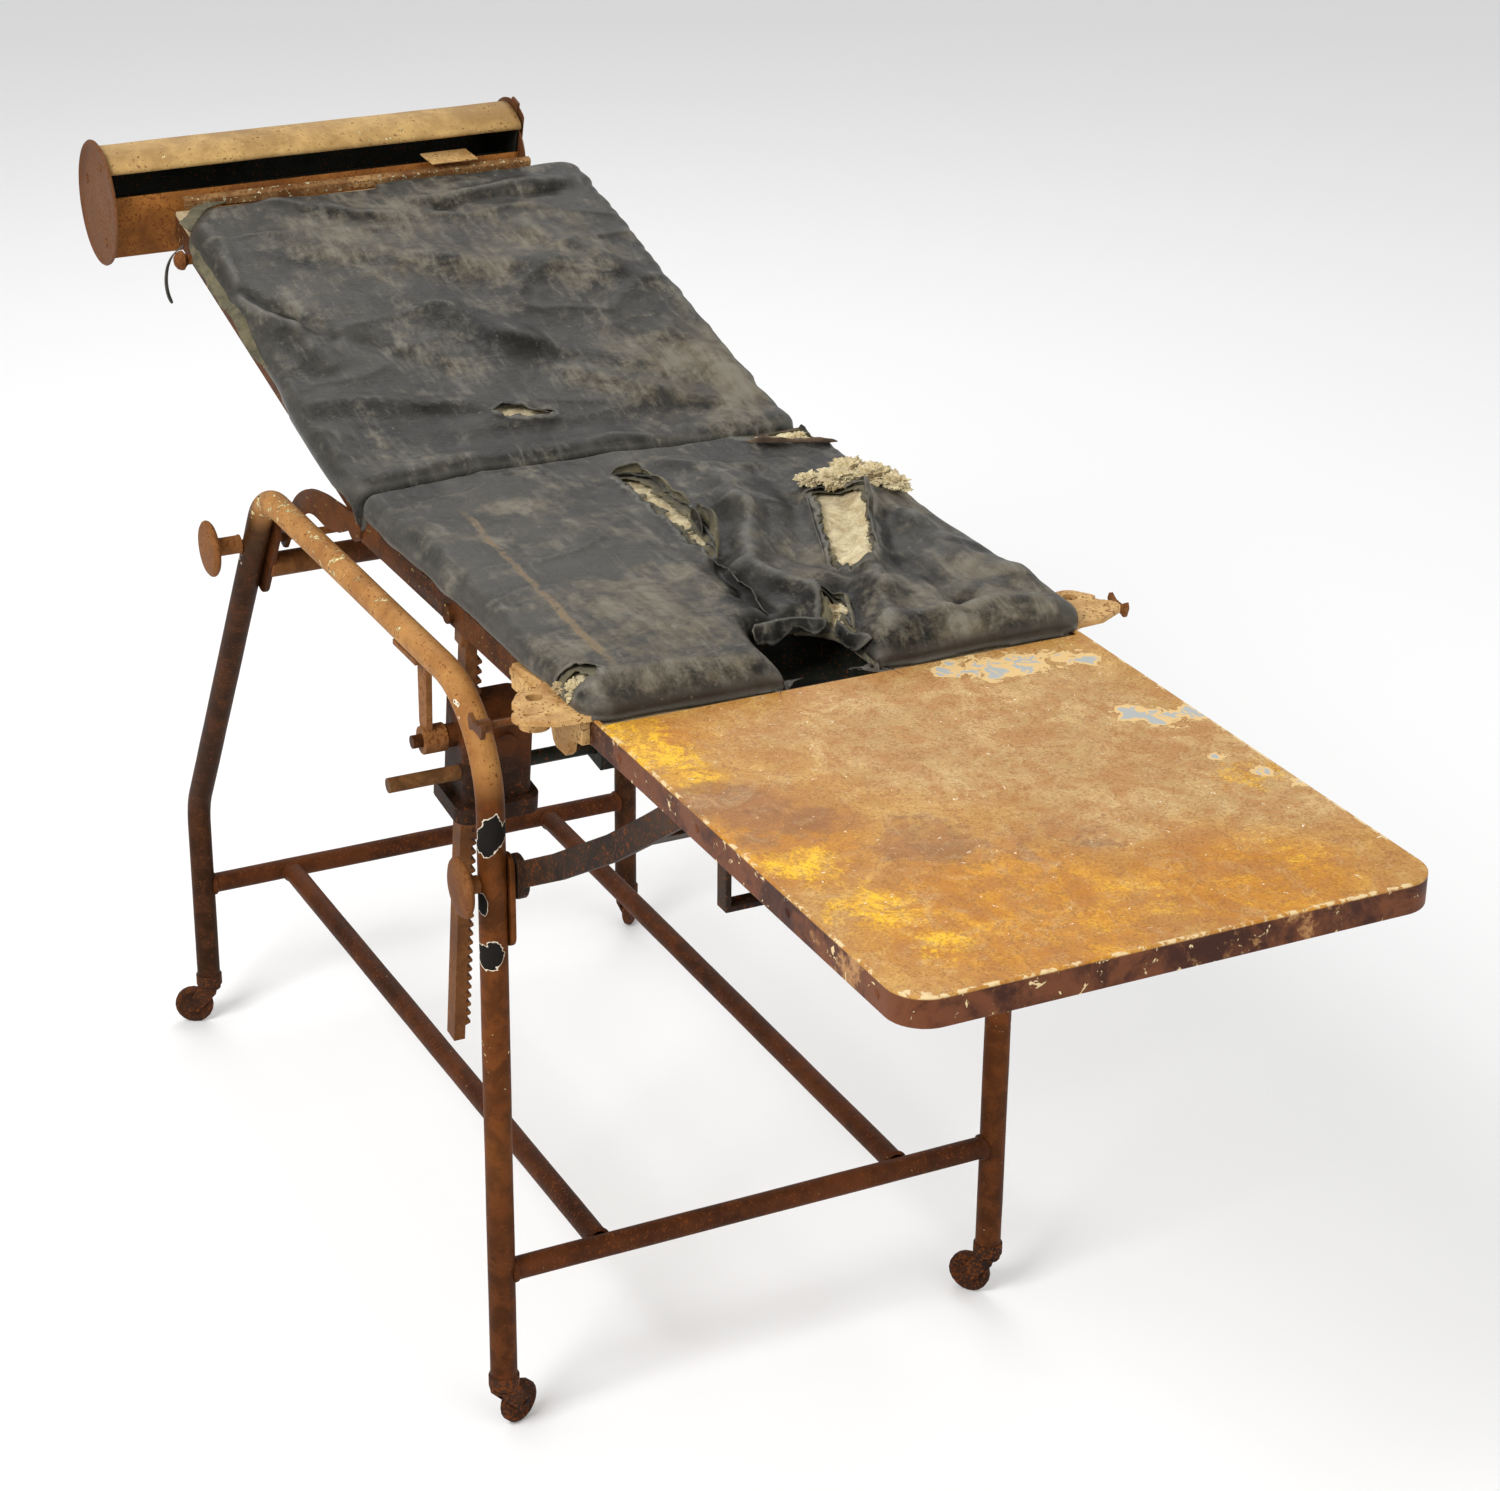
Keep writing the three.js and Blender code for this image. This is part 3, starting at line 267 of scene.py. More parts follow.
SOCKET_PAINT = enamel("socket_enamel", (0.62, 0.40, 0.165), (0.30, 0.145, 0.045), chips=0.3, rust=0.35, seed=8.4,
                      chip_colour=(0.78, 0.58, 0.28))
KNOB_PAINT = enamel("knob_enamel", (0.225, 0.092, 0.028), (0.105, 0.036, 0.010), chips=-0.3, seed=9.1, gloss=0.5)
GEAR_PAINT = enamel(
    "gear_housing_enamel", (0.10, 0.031, 0.008), (0.026, 0.009, 0.0035), chips=0.05, rust=0.25, seed=10.6,
    chip_colour=(0.35, 0.2, 0.08),
    zones=[(around(at(690, y, 560), 0.10), (0.016, 0.008, 0.005), 0.9) for y in (-200, 200)])
HANGER_PAINT = enamel("hanger_enamel", (0.25, 0.105, 0.033), (0.075, 0.028, 0.010), chips=0.1, rust=0.6, seed=11.3)
RACK_PAINT = enamel("rack_enamel", (0.22, 0.090, 0.028), (0.085, 0.032, 0.011), chips=-0.1, rust=0.6, seed=12.2)
ARM_PAINT = enamel("support_arm_enamel", (0.050, 0.027, 0.016), (0.013, 0.009, 0.007), chips=0.1, rust=0.45,
                   seed=13.5, chip_colour=(0.17, 0.06, 0.022))
GREASE = (0.022, 0.024, 0.018), (0.008, 0.009, 0.007)
SHAFT_PAINT = enamel("shaft_grease", *GREASE, chips=-0.6, rust=0.2, seed=14.9)
CRANK_PAINT = enamel("crank_shaft_rust", *GREASE, chips=-0.6, rust=0.3, seed=14.2,
                     zones=[(lambda s: s.fall(s.axis("Y"), -0.20, -0.17), (0.085, 0.038, 0.013), 0.95)])
DISC_PAINT = enamel("roll_disc_enamel", (0.15, 0.064, 0.028), (0.085, 0.033, 0.013), chips=-0.15, rust=0.7,
                    seed=15.3, gloss=0.5)
ROLL_PAINT = enamel(
    "roll_cover_enamel", (0.50, 0.325, 0.125), (0.28, 0.165, 0.060), chips=-0.25, rust=0.0, seed=16.4,
    spots=[(back_at(575, 20, 66), 0.13, 0.8), (back_at(575, -180, 66), 0.14, 0.7), (back_at(600, 120, 66), 0.1, 0.5)])
WALL_PAINT = enamel("roll_wall_enamel", (0.29, 0.112, 0.024), (0.135, 0.046, 0.011), chips=-0.1, seed=17.2)
BACK_RAIL_PAINT = enamel("backrest_rail_enamel", (0.40, 0.235, 0.095), (0.13, 0.055, 0.020), chips=0.75, rust=0.6,
                         seed=18.8, chip_colour=(0.76, 0.66, 0.40))
IRON = enamel("caster_iron", (0.060, 0.024, 0.012), (0.018, 0.009, 0.006), chips=-0.2, rust=1.0, seed=19.7, gloss=0.6)


def steel(name):
    s = Shader(name, metallic=0.75, specular=0.3)
    grime = s.noise(60, 5, 0.6, 0.3, 2.0)
    fine = s.noise(700, 2, 0.5, 0.0, 1.0)
    s.colour = s.mix(s.step(grime, 0.4, 0.62), (0.10, 0.085, 0.07), (0.34, 0.32, 0.29))
    s.bump(s.add((fine, 0.3), grime), 0.0003)
    return s.finish(s.step(grime, 0.3, 0.7, 0.5, 0.32))


STEEL = steel("oily_steel")


def panel_enamel():
    """Ochre top of the foot panel, with maroon flanges, bare grey chips and a cream broken edge."""
    s = Shader("panel_enamel", specular=0.12)
    broad = s.noise(4.2, 6, 0.62, 1.0, 31.0)
    cloud = s.noise(15, 6, 0.68, 0.9, 37.0)
    mottle = s.noise(85, 6, 0.68, 0.3, 41.0)
    fine = s.noise(420, 3, 0.6, 0.0, 43.0)
    tone = s.add((cloud, 0.6), (mottle, 0.5))

    def over(*spots):
        """The most of spots on the panel's top, each (x, y, radius, strength)."""
        return s.most(*s.spots([(at(x, y, PANEL_TOP), radius, strength) for x, y, radius, strength in spots], 0.95))

    def toned(start, end, dark, light):
        return s.mix(s.step(tone, start, end), dark, light)

    ochre = toned(0.42, 0.72, (0.37, 0.188, 0.044), (0.56, 0.325, 0.090))
    grey = toned(0.42, 0.72, (0.39, 0.24, 0.090), (0.57, 0.39, 0.175))
    middle = over((1130, 60, 0.27, 1.0), (1290, 130, 0.24, 1.0), (1080, -90, 0.13, 0.5))
    middle = s.step(s.add(middle, (cloud, 0.6)), 0.55, 1.0)
    s.colour = s.mix(s.times(middle, 0.85), ochre, grey)
    amber = over((1420, -90, 0.22, 1.0), (1440, 90, 0.18, 0.9), (1260, -190, 0.16, 0.9), (1050, -190, 0.1, 0.8))
    amber = s.step(s.add(amber, (broad, 0.7)), 0.62, 1.15)
    s.coat(amber, toned(0.45, 0.7, (0.40, 0.150, 0.010), (0.68, 0.33, 0.016)), 0.9)
    yellow = over((1025, -205, 0.07, 1.0), (1070, -205, 0.07, 0.9), (1120, -200, 0.06, 0.8),
                  (1290, -190, 0.07, 0.95), (1370, -180, 0.07, 0.9), (1440, -160, 0.06, 0.8), (1455, 20, 0.08, 0.55),
                  (1420, 130, 0.08, 0.5), (1300, 190, 0.06, 0.7), (1460, 190, 0.06, 0.5))
    streak = s.step(s.add((cloud, 0.8), (mottle, 0.6), (yellow, 0.43)), 0.91, 1.06)
    s.coat(streak, (0.80, 0.45, 0.012), 0.92)
    blotch = over((1190, -180, 0.08, 1.15), (1225, -150, 0.08, 1.0), (1165, -205, 0.06, 1.1),
                  (1300, -90, 0.10, 0.75), (1330, 0, 0.10, 0.65), (1380, 60, 0.09, 0.5), (1400, -60, 0.08, 0.5),
                  (1240, -200, 0.05, 0.8))
    stain = s.step(s.add((cloud, 0.9), (mottle, 0.5), (blotch, 0.40)), 0.88, 1.06)
    s.coat(stain, (0.15, 0.054, 0.024), 0.72)
    patchy = s.step(s.add(s.noise(24, 8, 0.76, 1.2, 33.0), (mottle, 0.3)), 0.57, 0.74)
    s.coat(patchy, (0.35, 0.145, 0.036), 0.66)
    ashen = s.step(s.add(s.noise(31, 8, 0.74, 1.0, 35.0), (mottle, 0.3)), 0.64, 0.84)
    s.coat(ashen, (0.58, 0.45, 0.23), 0.28)
    speckle = s.step(s.add(fine, (mottle, 0.6)), 0.76, 0.96)
    s.coat(speckle, (0.19, 0.070, 0.013), 0.5)
    fleck = s.step(s.add(s.noise(190, 4, 0.7, 0.6, 51.0), (cloud, 0.12)), 0.735, 0.75)
    s.coat(fleck, (0.86, 0.78, 0.58), 0.85)
    side = s.fall(s.axis("Z"), 0.7632, 0.7646)
    maroon = s.step(s.add(cloud, (mottle, 0.4)), 0.55, 0.8)
    maroon = s.mix(maroon, (0.040, 0.012, 0.006), (0.13, 0.042, 0.016))
    tan_worn = s.step(s.add(broad, (mottle, 0.5)), 0.80, 0.90)
    maroon = s.mix(s.times(tan_worn, 0.9), maroon, (0.38, 0.20, 0.075))
    s.coat(side, maroon)
    # bare grey patches near the far edge, ringed by pale undercoat
    patches = over((1022, 84, 0.050, 0.84), (1034, 112, 0.064, 0.86), (1040, 145, 0.062, 0.86),
                   (1040, 178, 0.056, 0.86), (1054, 198, 0.036, 0.98), (1052, 106, 0.026, 1.0),
                   (1163, 172, 0.040, 1.0), (1180, 190, 0.046, 1.0), (1184, 216, 0.036, 1.0),
                   (1262, 188, 0.020, 0.8), (1300, 206, 0.026, 0.85), (1330, 220, 0.024, 0.8))
    flake = s.noise(44, 6, 0.66, 1.3, 47.0)
    drive = s.add((flake, 0.9), (patches, 0.55))
    rim = s.step(drive, 0.81, 0.82)
    s.coat(rim, (0.62, 0.42, 0.185))
    s.coat(s.step(drive, 0.93, 0.94), (0.35, 0.365, 0.35))
    # broken cream line along the edges, and flakes down the flanges
    end = x_of(1504)
    edge = s.most(s.step(s.math("ABSOLUTE", s.axis("Y")), 0.2195, 0.2215), s.step(s.axis("X"), end - MM, end + MM),
                  s.near(at(1500, -216, 764), 0.022))
    crest = s.times(edge, s.step(s.axis("Z"), 0.7635, 0.7650), s.step(s.add(mottle, (flake, 0.5)), 0.76, 0.80))
    flank = s.times(side, s.step(s.noise(75, 5, 0.66, 0.8, 53.0), 0.63, 0.645))
    s.coat(s.most(crest, flank), (0.62, 0.47, 0.25))
    dent = s.times(s.noise(9, 2, 0.5, 0.0, 59.0), 1.6)
    s.bump(s.add((fine, 0.16), (mottle, 0.30), (rim, -0.5), (flank, -0.4),
                 (streak, 0.12), dent), 0.0014)
    return s.finish(s.add((mottle, 0.25), (rim, 0.12), (stain, -0.06), 0.34))


PANEL_PAINT = panel_enamel()


def oilcloth():
    """Black coated cloth gone grey, with dust, brown stains, and painted shade and highlight on its folds."""
    s = Shader("oilcloth", specular=0.115)
    s.put(s.bsdf.inputs["Specular Tint"], (1.0, 0.94, 0.84))
    broad = s.noise(5.0, 8, 0.68, 0.3, 61.0)
    cloud = s.noise(17, 9, 0.74, 0.25, 67.0)
    mottle = s.noise(75, 7, 0.72, 0.1, 71.0)
    grain = s.noise(900, 2, 0.5, 0.0, 73.0)
    scratch = s.noise(55, 4, 0.6, 0.5, 79.0, (0.35, 2.2, 1.0))
    black = s.step(s.add(broad, (mottle, 0.3)), 0.50, 0.82)
    s.colour = s.mix(black, (0.007, 0.0068, 0.0062), (0.042, 0.039, 0.033))
    brown = s.most(*s.spots((
        (back_at(120, 195, 34), 0.17, 1.0), (back_at(450, -60, 34), 0.20, 0.6), (back_at(420, 80, 34), 0.22, 0.6),
        (at(930, -150, 787), 0.15, 0.85), (at(960, 150, 787), 0.17, 0.8), (at(700, 190, 787), 0.12, 0.8),
        (at(820, 60, 787), 0.10, 0.7), (at(600, -120, 787), 0.13, 0.5), (at(830, -100, 787), 0.14, 0.75),
    ), 0.9))
    dirt = s.step(s.add(cloud, (brown, 0.24), (mottle, 0.25)), 0.64, 0.92)
    s.coat(dirt, (0.175, 0.140, 0.088), 0.55)
    dust = s.step(s.add(cloud, (scratch, 0.55), (brown, 0.10)), 0.76, 1.08)
    s.coat(dust, (0.24, 0.225, 0.185), 0.50)
    # a rust line pressed into the near half of the seat
    y_line = s.add(s.axis("Y"), (s.axis("X"), 0.062), (s.add(cloud, -0.5), 0.012))
    on_line = s.times(s.step(y_line, -0.1750, -0.1725), s.fall(y_line, -0.1680, -0.1655))
    along = s.times(s.step(s.axis("X"), x_of(560), x_of(600)), s.fall(s.axis("X"), x_of(930), x_of(965)))
    line = s.times(on_line, along, s.step(mottle, 0.38, 0.52))
    s.coat(line, (0.185, 0.125, 0.062), 0.7)
    # the seat's foot face is darkened as painted shade
    foot_face_shade = s.times(s.step(s.axis("X"), x_of(984), x_of(996)), s.fall(s.axis("Z"), 0.774, 0.786))
    s.coat(foot_face_shade, (0.020, 0.013, 0.009), 0.88)
    # crests are lightened grey, partly rubbed wear and partly painted highlight; creases are darkened nearly black as
    # painted shade
    crest = s.node("NewGeometry").outputs["Pointiness"]
    crest_wear_and_highlight = s.times(s.step(crest, 0.505, 0.545), s.step(crest, 0.56, 0.62, 0.34, 0.06))
    s.coat(crest_wear_and_highlight, (0.20, 0.190, 0.160))
    s.coat(s.fall(crest, 0.455, 0.495), (0.006, 0.0055, 0.005), 0.80)
    worn = s.step(s.noise(140, 4, 0.6, 0.3, 83.0), 0.64, 0.72)
    s.coat(worn, (0.26, 0.23, 0.18), 0.25)
    s.bump(s.add((grain, 0.10), (mottle, 0.45), cloud, (scratch, 0.35)), 0.0020, 0.9)
    return s.finish(s.add((mottle, 0.20), (dirt, 0.18), (dust, 0.12), 0.20))


def weave(name, light, dark, scale, fuzz):
    s = Shader(name, specular=0.1)
    s.put(s.bsdf.inputs["Sheen Weight"], 0.1)
    cloud = s.noise(38, 5, 0.65, 0.8, 89.0)
    warp_threads = s.noise(scale, 2, 0.5, 0.0, 91.0, (4.0, 0.6, 1.0))
    weft_threads = s.noise(scale, 2, 0.5, 0.0, 97.0, (0.6, 4.0, 1.0))
    threads = s.add((warp_threads, 0.5), (weft_threads, 0.5))
    s.colour = s.mix(s.step(s.add(cloud, (threads, 0.5)), 0.5, 1.0), dark, light)
    s.bump(s.add(threads, (cloud, 1.5)), fuzz)
    return s.finish(s.step(cloud, 0.2, 0.8, 0.82, 0.96))


def batting():
    s = Shader("cotton_batting", specular=0.1)
    s.put(s.bsdf.inputs["Sheen Weight"], 0.3)
    lump = s.noise(42, 6, 0.7, 0.7, 101.0)
    fibre = s.noise(330, 4, 0.7, 1.5, 103.0)
    s.colour = s.mix(s.step(s.add(lump, (fibre, 0.4)), 0.5, 0.85), (0.48, 0.33, 0.13), (0.88, 0.75, 0.44))
    soiled = s.step(s.noise(13, 4, 0.6, 0.4, 107.0), 0.56, 0.72)
    s.coat(soiled, (0.36, 0.24, 0.11), 0.45)
    s.bump(s.add(lump, (fibre, 0.8)), 0.004)
    return s.finish(s.step(fibre, 0.2, 0.8, 0.86, 0.98))


OILCLOTH = oilcloth()
CANVAS = weave("khaki_lining", (0.16, 0.135, 0.075), (0.042, 0.039, 0.025), 420, 0.0012)
SOILED = weave("soiled_lining", (0.20, 0.13, 0.080), (0.040, 0.028, 0.019), 420, 0.0012)
BATTING = batting()
BOARD = weave("bare_board", (0.46, 0.36, 0.21), (0.24, 0.16, 0.08), 60, 0.0006)


# ---------------------------------------------------------------- mesh helpers
def piece_of(name, mesh, material, sharp_from):
    """Puts a mesh in the scene, shaded smooth but for edges sharper than sharp_from degrees."""
    mesh.materials.clear()
    mesh.materials.append(material)
    mesh.polygons.foreach_set("use_smooth", [True] * len(mesh.polygons))
    mesh.set_sharp_from_angle(angle=math.radians(sharp_from))
    mesh.update()
    piece = bpy.data.objects.new(name, mesh)
    bpy.context.collection.objects.link(piece)
    return piece


def new_object(name, verts, faces, material, sharp_from=40.0):
    mesh = bpy.data.meshes.new(name)
    mesh.from_pydata([tuple(v) for v in verts], [], faces)
    mesh.validate()
    return piece_of(name, mesh, material, sharp_from)


def fix_normals(piece):
    bm = bmesh.new()
    bm.from_mesh(piece.data)
    bmesh.ops.recalc_face_normals(bm, faces=bm.faces)
    bm.to_mesh(piece.data)
    bm.free()
    return piece


def round_edges(piece, width, sharper_than, segments=2):
    rounding = piece.modifiers.new("rounding", "BEVEL")
    rounding.width = width * MM
    rounding.segments = segments
    rounding.limit_method = "ANGLE"
    rounding.angle_limit = math.radians(sharper_than)


def thicken(piece, thickness, offset=-1.0):
    sheet = piece.modifiers.new("sheet", "SOLIDIFY")
    sheet.thickness = thickness * MM
    sheet.offset = offset
    return sheet


def settle(piece, body, slot, *nodes):
    """Rides piece on body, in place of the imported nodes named, if any."""
    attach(piece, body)
    if nodes:
        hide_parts(*nodes)
    return piece


def refined(node, material, bevel=0.7, angle=38.0, segments=2):
    """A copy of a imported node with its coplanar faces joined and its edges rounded."""
    mesh = frame["nodes"][node].data.copy()
    bm = bmesh.new()
    bm.from_mesh(mesh)
    bmesh.ops.remove_doubles(bm, verts=bm.verts, dist=2e-5)
    bmesh.ops.dissolve_limit(bm, angle_limit=math.radians(1.2), verts=bm.verts, edges=bm.edges)
    bm.to_mesh(mesh)
    bm.free()
    piece = piece_of(node + "_worn", mesh, material, angle)
    round_edges(piece, bevel, angle, segments)
    bodies = frame["record"]["behaviour"]["bodies"]
    body = next(body for body, members in bodies.items() if node in members)
    slot = next(entry["material_slot"] for entry in frame["record"]["subparts"] if entry["node"] == node)
    return settle(piece, body, slot, node)


def bent_centreline(corners, arc_steps=14):
    """Points and tangents of straight runs joined by arcs; corners are (point, radius) in drawing mm."""
    stations = []
    for i, (point, radius) in enumerate(corners):
        here = Vector(point)
        before = (here - Vector(corners[i - 1][0])).normalized() if i else None
        after = (Vector(corners[i + 1][0]) - here).normalized() if i + 1 < len(corners) else None
        if not radius:
            stations.append((here, (before or after)))
            continue
        turn = before.angle(after)
        start = here - before * radius * math.tan(turn / 2)
        inward = (after - before * before.dot(after)).normalized()
        for k in range(arc_steps + 1):
            a = turn * k / arc_steps
            where = start + before * radius * math.sin(a) + inward * radius * (1 - math.cos(a))
            stations.append((where, before * math.cos(a) + inward * math.sin(a)))
    return stations


def tube(name, corners, radius, material, sides=32, cap_round=1.2, wobble=0.25, seed=0):
    """A round tube along bent corners, with rounded ends and a hand-bent unevenness, all in mm."""
    stations = bent_centreline(corners)
    dense = []
    for (a, ta), (b, tb) in zip(stations, stations[1:]):
        parts = max(1, int((b - a).length / 30))
        for k in range(parts):
            f = k / parts
            dense.append((a.lerp(b, f), ta.lerp(tb, f).normalized(), radius))
    (first, first_way, _), (last, last_way) = dense[0], stations[-1]
    rings = [(first, first_way, radius - cap_round), (first + first_way * cap_round, first_way, radius)]
    rings += dense[1:]
    rings += [(last - last_way * cap_round, last_way, radius), (last, last_way, radius - cap_round)]
    verts, faces = [], []
    for where, tangent, r in rings:
        across = Vector((0, 1, 0)) if abs(tangent.y) < 0.9 else Vector((0, 0, 1))
        up = across.cross(tangent).normalized()
        across = tangent.cross(up)
        for k in range(sides):
            a = 2 * math.pi * k / sides
            bump = wobble * noise.noise(where * 0.02 + Vector((seed, math.cos(a), math.sin(a))))
            verts.append(at(*(where + (up * math.cos(a) + across * math.sin(a)) * (r + bump - wobble))))
    for i in range(len(rings) - 1):
        for k in range(sides):
            a, b = i * sides + k, i * sides + (k + 1) % sides
            faces.append((a, b, b + sides, a + sides))
    faces.append(tuple(reversed(range(sides))))
    faces.append(tuple(range((len(rings) - 1) * sides, len(rings) * sides)))
    return fix_normals(new_object(name, verts, faces, material))


def turned(name, profile, centre, material, steps=56, frame_point=at):
    """A solid turned about a line along Y. profile is (radius, y) in mm, starting and ending on the axis."""
    cx, cz = centre
    verts, faces, rows = [], [], []
    for r, y in profile:
        if r < 1e-6:
            rows.append([len(verts)])
            verts.append(frame_point(cx, y, cz))
            continue
        rows.append(list(range(len(verts), len(verts) + steps)))
        for k in range(steps):
            a = 2 * math.pi * k / steps
            verts.append(frame_point(cx + r * math.cos(a), y, cz + r * math.sin(a)))
    for one, two in zip(rows, rows[1:]):
        for k in range(steps):
            a, b = one[k % len(one)], one[(k + 1) % len(one)]
            c, d = two[(k + 1) % len(two)], two[k % len(two)]
            faces.append(tuple(dict.fromkeys((a, b, c, d))))
    return fix_normals(new_object(name, verts, faces, material, 30.0))


def plate(name, outline, y0, y1, material, bevel=0.8, frame_point=at):
    """A flat plate whose (x, z) outline is in mm, between y0 and y1, with rounded edges."""
    count = len(outline)
    verts = [frame_point(x, y, z) for y in (y0, y1) for x, z in outline]
    faces = [tuple(range(count)), tuple(reversed(range(count, 2 * count)))]
    faces += [(k, k + count, (k + 1) % count + count, (k + 1) % count) for k in range(count)]
    piece = fix_normals(new_object(name, verts, faces, material, 35.0))
    round_edges(piece, bevel, 50)
    return piece


def stadium(cx, cz, half, radius, angle, steps=12):
    points = []
    for end, turn in ((1, 0.0), (-1, math.pi)):
        ex, ez = cx + end * half * math.cos(angle), cz + end * half * math.sin(angle)
        for k in range(steps + 1):
            a = angle - math.pi / 2 + turn + math.pi * k / steps
            points.append((ex + radius * math.cos(a), ez + radius * math.sin(a)))
    return points


# ---------------------------------------------------------------- tube frame
def along_y(name, x, z, y0, y1, *rest, **options):
    return tube(name, [((x, y0, z), 0), ((x, y1, z), 0)], *rest, **options)


def along_x(name, x0, x1, y, *rest, **options):
    return tube(name, [((x0, y, LOW_RAIL_Z), 0), ((x1, y, LOW_RAIL_Z), 0)], *rest, **options)


GUSSET_LEAN = math.atan2(TOP_RAIL_Z - KINK_Z, HEAD_BEND_X)
for name, side in SIDES:
    y = side * FRAME_Y
    legs = [((0, y, LEG_BOTTOM), 0), ((0, y, KINK_Z), 80), ((HEAD_BEND_X, y, TOP_RAIL_Z), 65),
            ((FOOT_LEG_X, y, TOP_RAIL_Z), 97), ((FOOT_LEG_X, y, LEG_BOTTOM), 0)]
    bent = tube(f"side_frame_{name}_tube", legs, FRAME_TUBE, FRAME_PAINT, seed=side)
    settle(bent, "base", "frame_paint", f"side_frame_{name}")
    rail = along_x(f"stretcher_{name}_tube", 9, 836, side * STRETCHER_Y, LOW_TUBE, RAIL_PAINT, seed=3 * side)
    settle(rail, "base", "rusty_iron", f"stretcher_{name}")
for node, x in (("cross_rail_head", 0), ("cross_rail_foot", FOOT_LEG_X)):
    rail = along_y(f"{node}_tube", x, LOW_RAIL_Z, -244, 244, LOW_TUBE, RAIL_PAINT, seed=x)
    settle(rail, "base", "rusty_iron", node)
upper = along_y("cross_tube_upper_tube", 245, 632, -240, 240, UPPER_TUBE, CROSS_PAINT, seed=9)
settle(upper, "base", "rusty_iron", "cross_tube_upper")

for name, side in SIDES:
    y0, y1 = sorted((side * 242.0, side * 237.2))
    gusset = plate(f"head_gusset_{name}", stadium(242, 645, 38, 17, GUSSET_LEAN), y0, y1, GEAR_PAINT)
    settle(gusset, "base", "rusty_iron")
    leg_plate = plate(f"leg_plate_{name}", stadium(FOOT_LEG_X, 542, 32, 12, math.pi / 2), y0, y1, FRAME_PAINT)
    settle(leg_plate, "base", "frame_paint")
    # sleeves where the casters plug in, and brazed collars at the low rails
    for tag, x, bead_x in (("head", 0, 9.5), ("foot", FOOT_LEG_X, 831)):
        y = side * FRAME_Y
        sleeve = tube(f"leg_sleeve_{tag}_{name}", [((x, y, 47), 0), ((x, y, 60), 0)], 14.6, IRON, wobble=0.4, seed=x)
        collar = along_y(f"braze_{tag}_{name}", x, LOW_RAIL_Z, side * 238.5, side * 246, 13.4, RAIL_PAINT,
                         cap_round=2.4, wobble=0.8, seed=x + 5)
        bead = along_x(f"stretcher_braze_{tag}_{name}", bead_x, bead_x + 5, side * STRETCHER_Y, 13.0, RAIL_PAINT,
                       cap_round=2.2, wobble=0.8, seed=x + 8)
        for piece in (sleeve, collar, bead):
            settle(piece, "base", "rusty_iron")

# knobs: (radius, y) half sections from the outer face inwards
head_knob = [(0, -303.0), (16, -302.6), (25, -301.6), (27.4, -299.8), (28, -298.0), (27.4, -296.2), (25.5, -294.6),
             (14, -294.0), (9.6, -291.5), (9, -289), (9, -270), (9.6, -268.5), (9.6, -267.2), (0, -267.2)]
foot_knob = [(0, -288.0), (10, -287.8), (22, -286.4), (26, -284.6), (27, -283.2), (26.6, -281.2), (25, -279.8),
             (10, -279.2), (8.2, -277), (8, -274), (8, -267.2), (5, -267), (5, -222), (0, -222)]
for name, profile, centre in (("head_clamp", head_knob, (240, 657)), ("foot_clamp", foot_knob, (FOOT_LEG_X, 562))):
    settle(turned(f"{name}_disc", profile, centre, KNOB_PAINT), name, "frame_paint", f"{name}_knob")

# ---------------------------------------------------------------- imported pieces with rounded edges
for node, material, bevel in (
    ("head_pivot_rod", KNOB_PAINT, 0.5), ("far_arm_bolt", RAIL_PAINT, 0.6), ("seat_cross_bar_foot", RAIL_PAINT, 0.6),
    ("stay_tracks", RAIL_PAINT, 0.6), ("drain_pan", SHAFT_PAINT, 0.5), ("backrest_foot_bar", RAIL_PAINT, 0.6),
    ("stay_pivot_rod", RAIL_PAINT, 0.5), ("backrest_stay", RAIL_PAINT, 0.6), ("roll_spindle", SHAFT_PAINT, 0.5),
    ("shaft_coupling", SHAFT_PAINT, 1.6), ("crank_shaft", CRANK_PAINT, 0.4), ("support_cross_bar", ARM_PAINT, 0.8),
    ("panel_loop", ARM_PAINT, 0.9), ("seat_board", BOARD, 0.8), ("backrest_board", BOARD, 0.8),
    ("backrest_head_bar", BACK_RAIL_PAINT, 0.7),
):
    refined(node, material, bevel)
for name, _ in SIDES:
    for stem, material, bevel in (
        ("gear_hanger", HANGER_PAINT, 1.1), ("seat_rail", SEAT_RAIL_PAINT, 0.8), ("stirrup_socket", SOCKET_PAINT, 1.0),
        ("thumb_screw", HANGER_PAINT, 0.6), ("backrest_rail", SEAT_RAIL_PAINT, 0.8), ("roll_strap", WALL_PAINT, 0.7),
        ("support_arm", ARM_PAINT, 1.0), ("rack", RACK_PAINT, 0.35), ("gear_housing", GEAR_PAINT, 2.6),
        ("pinion_shaft", STEEL, 0.3),
    ):
        refined(f"{stem}_{name}", material, bevel)
refined("foot_panel", PANEL_PAINT, 2.2, segments=4)
for corner in ("head_near", "foot_near", "head_far", "foot_far"):
    refined(f"caster_fork_{corner}", IRON, 0.7)
    refined(f"caster_wheel_{corner}", IRON, 0.6, 50.0)

# rivets on the panel's flange
RIVET = ((0, 1.5), (2.2, 1.2), (3.6, 0.4), (3.8, -0.4), (0, -0.5))
for index, centre in enumerate(((1040, 752), (1180, 753), (1330, 752), (1465, 753))):
    for name, side in SIDES:
        profile = [(r, side * PANEL_FLANGE + side * out) for r, out in RIVET]
        settle(turned(f"panel_rivet_{index}_{name}", profile, centre, PANEL_PAINT, 16), "foot_panel", "panel_paint")

# ---------------------------------------------------------------- paper-roll holder
ROLL_X, ROLL_Z, ROLL_R = -618.0, 8.5, 57.0
ROLL_WALL_X, ROLL_NEAR_Y, ROLL_FAR_Y = -592.0, -278.5, 178.0
LIP_BEAD = 2.6


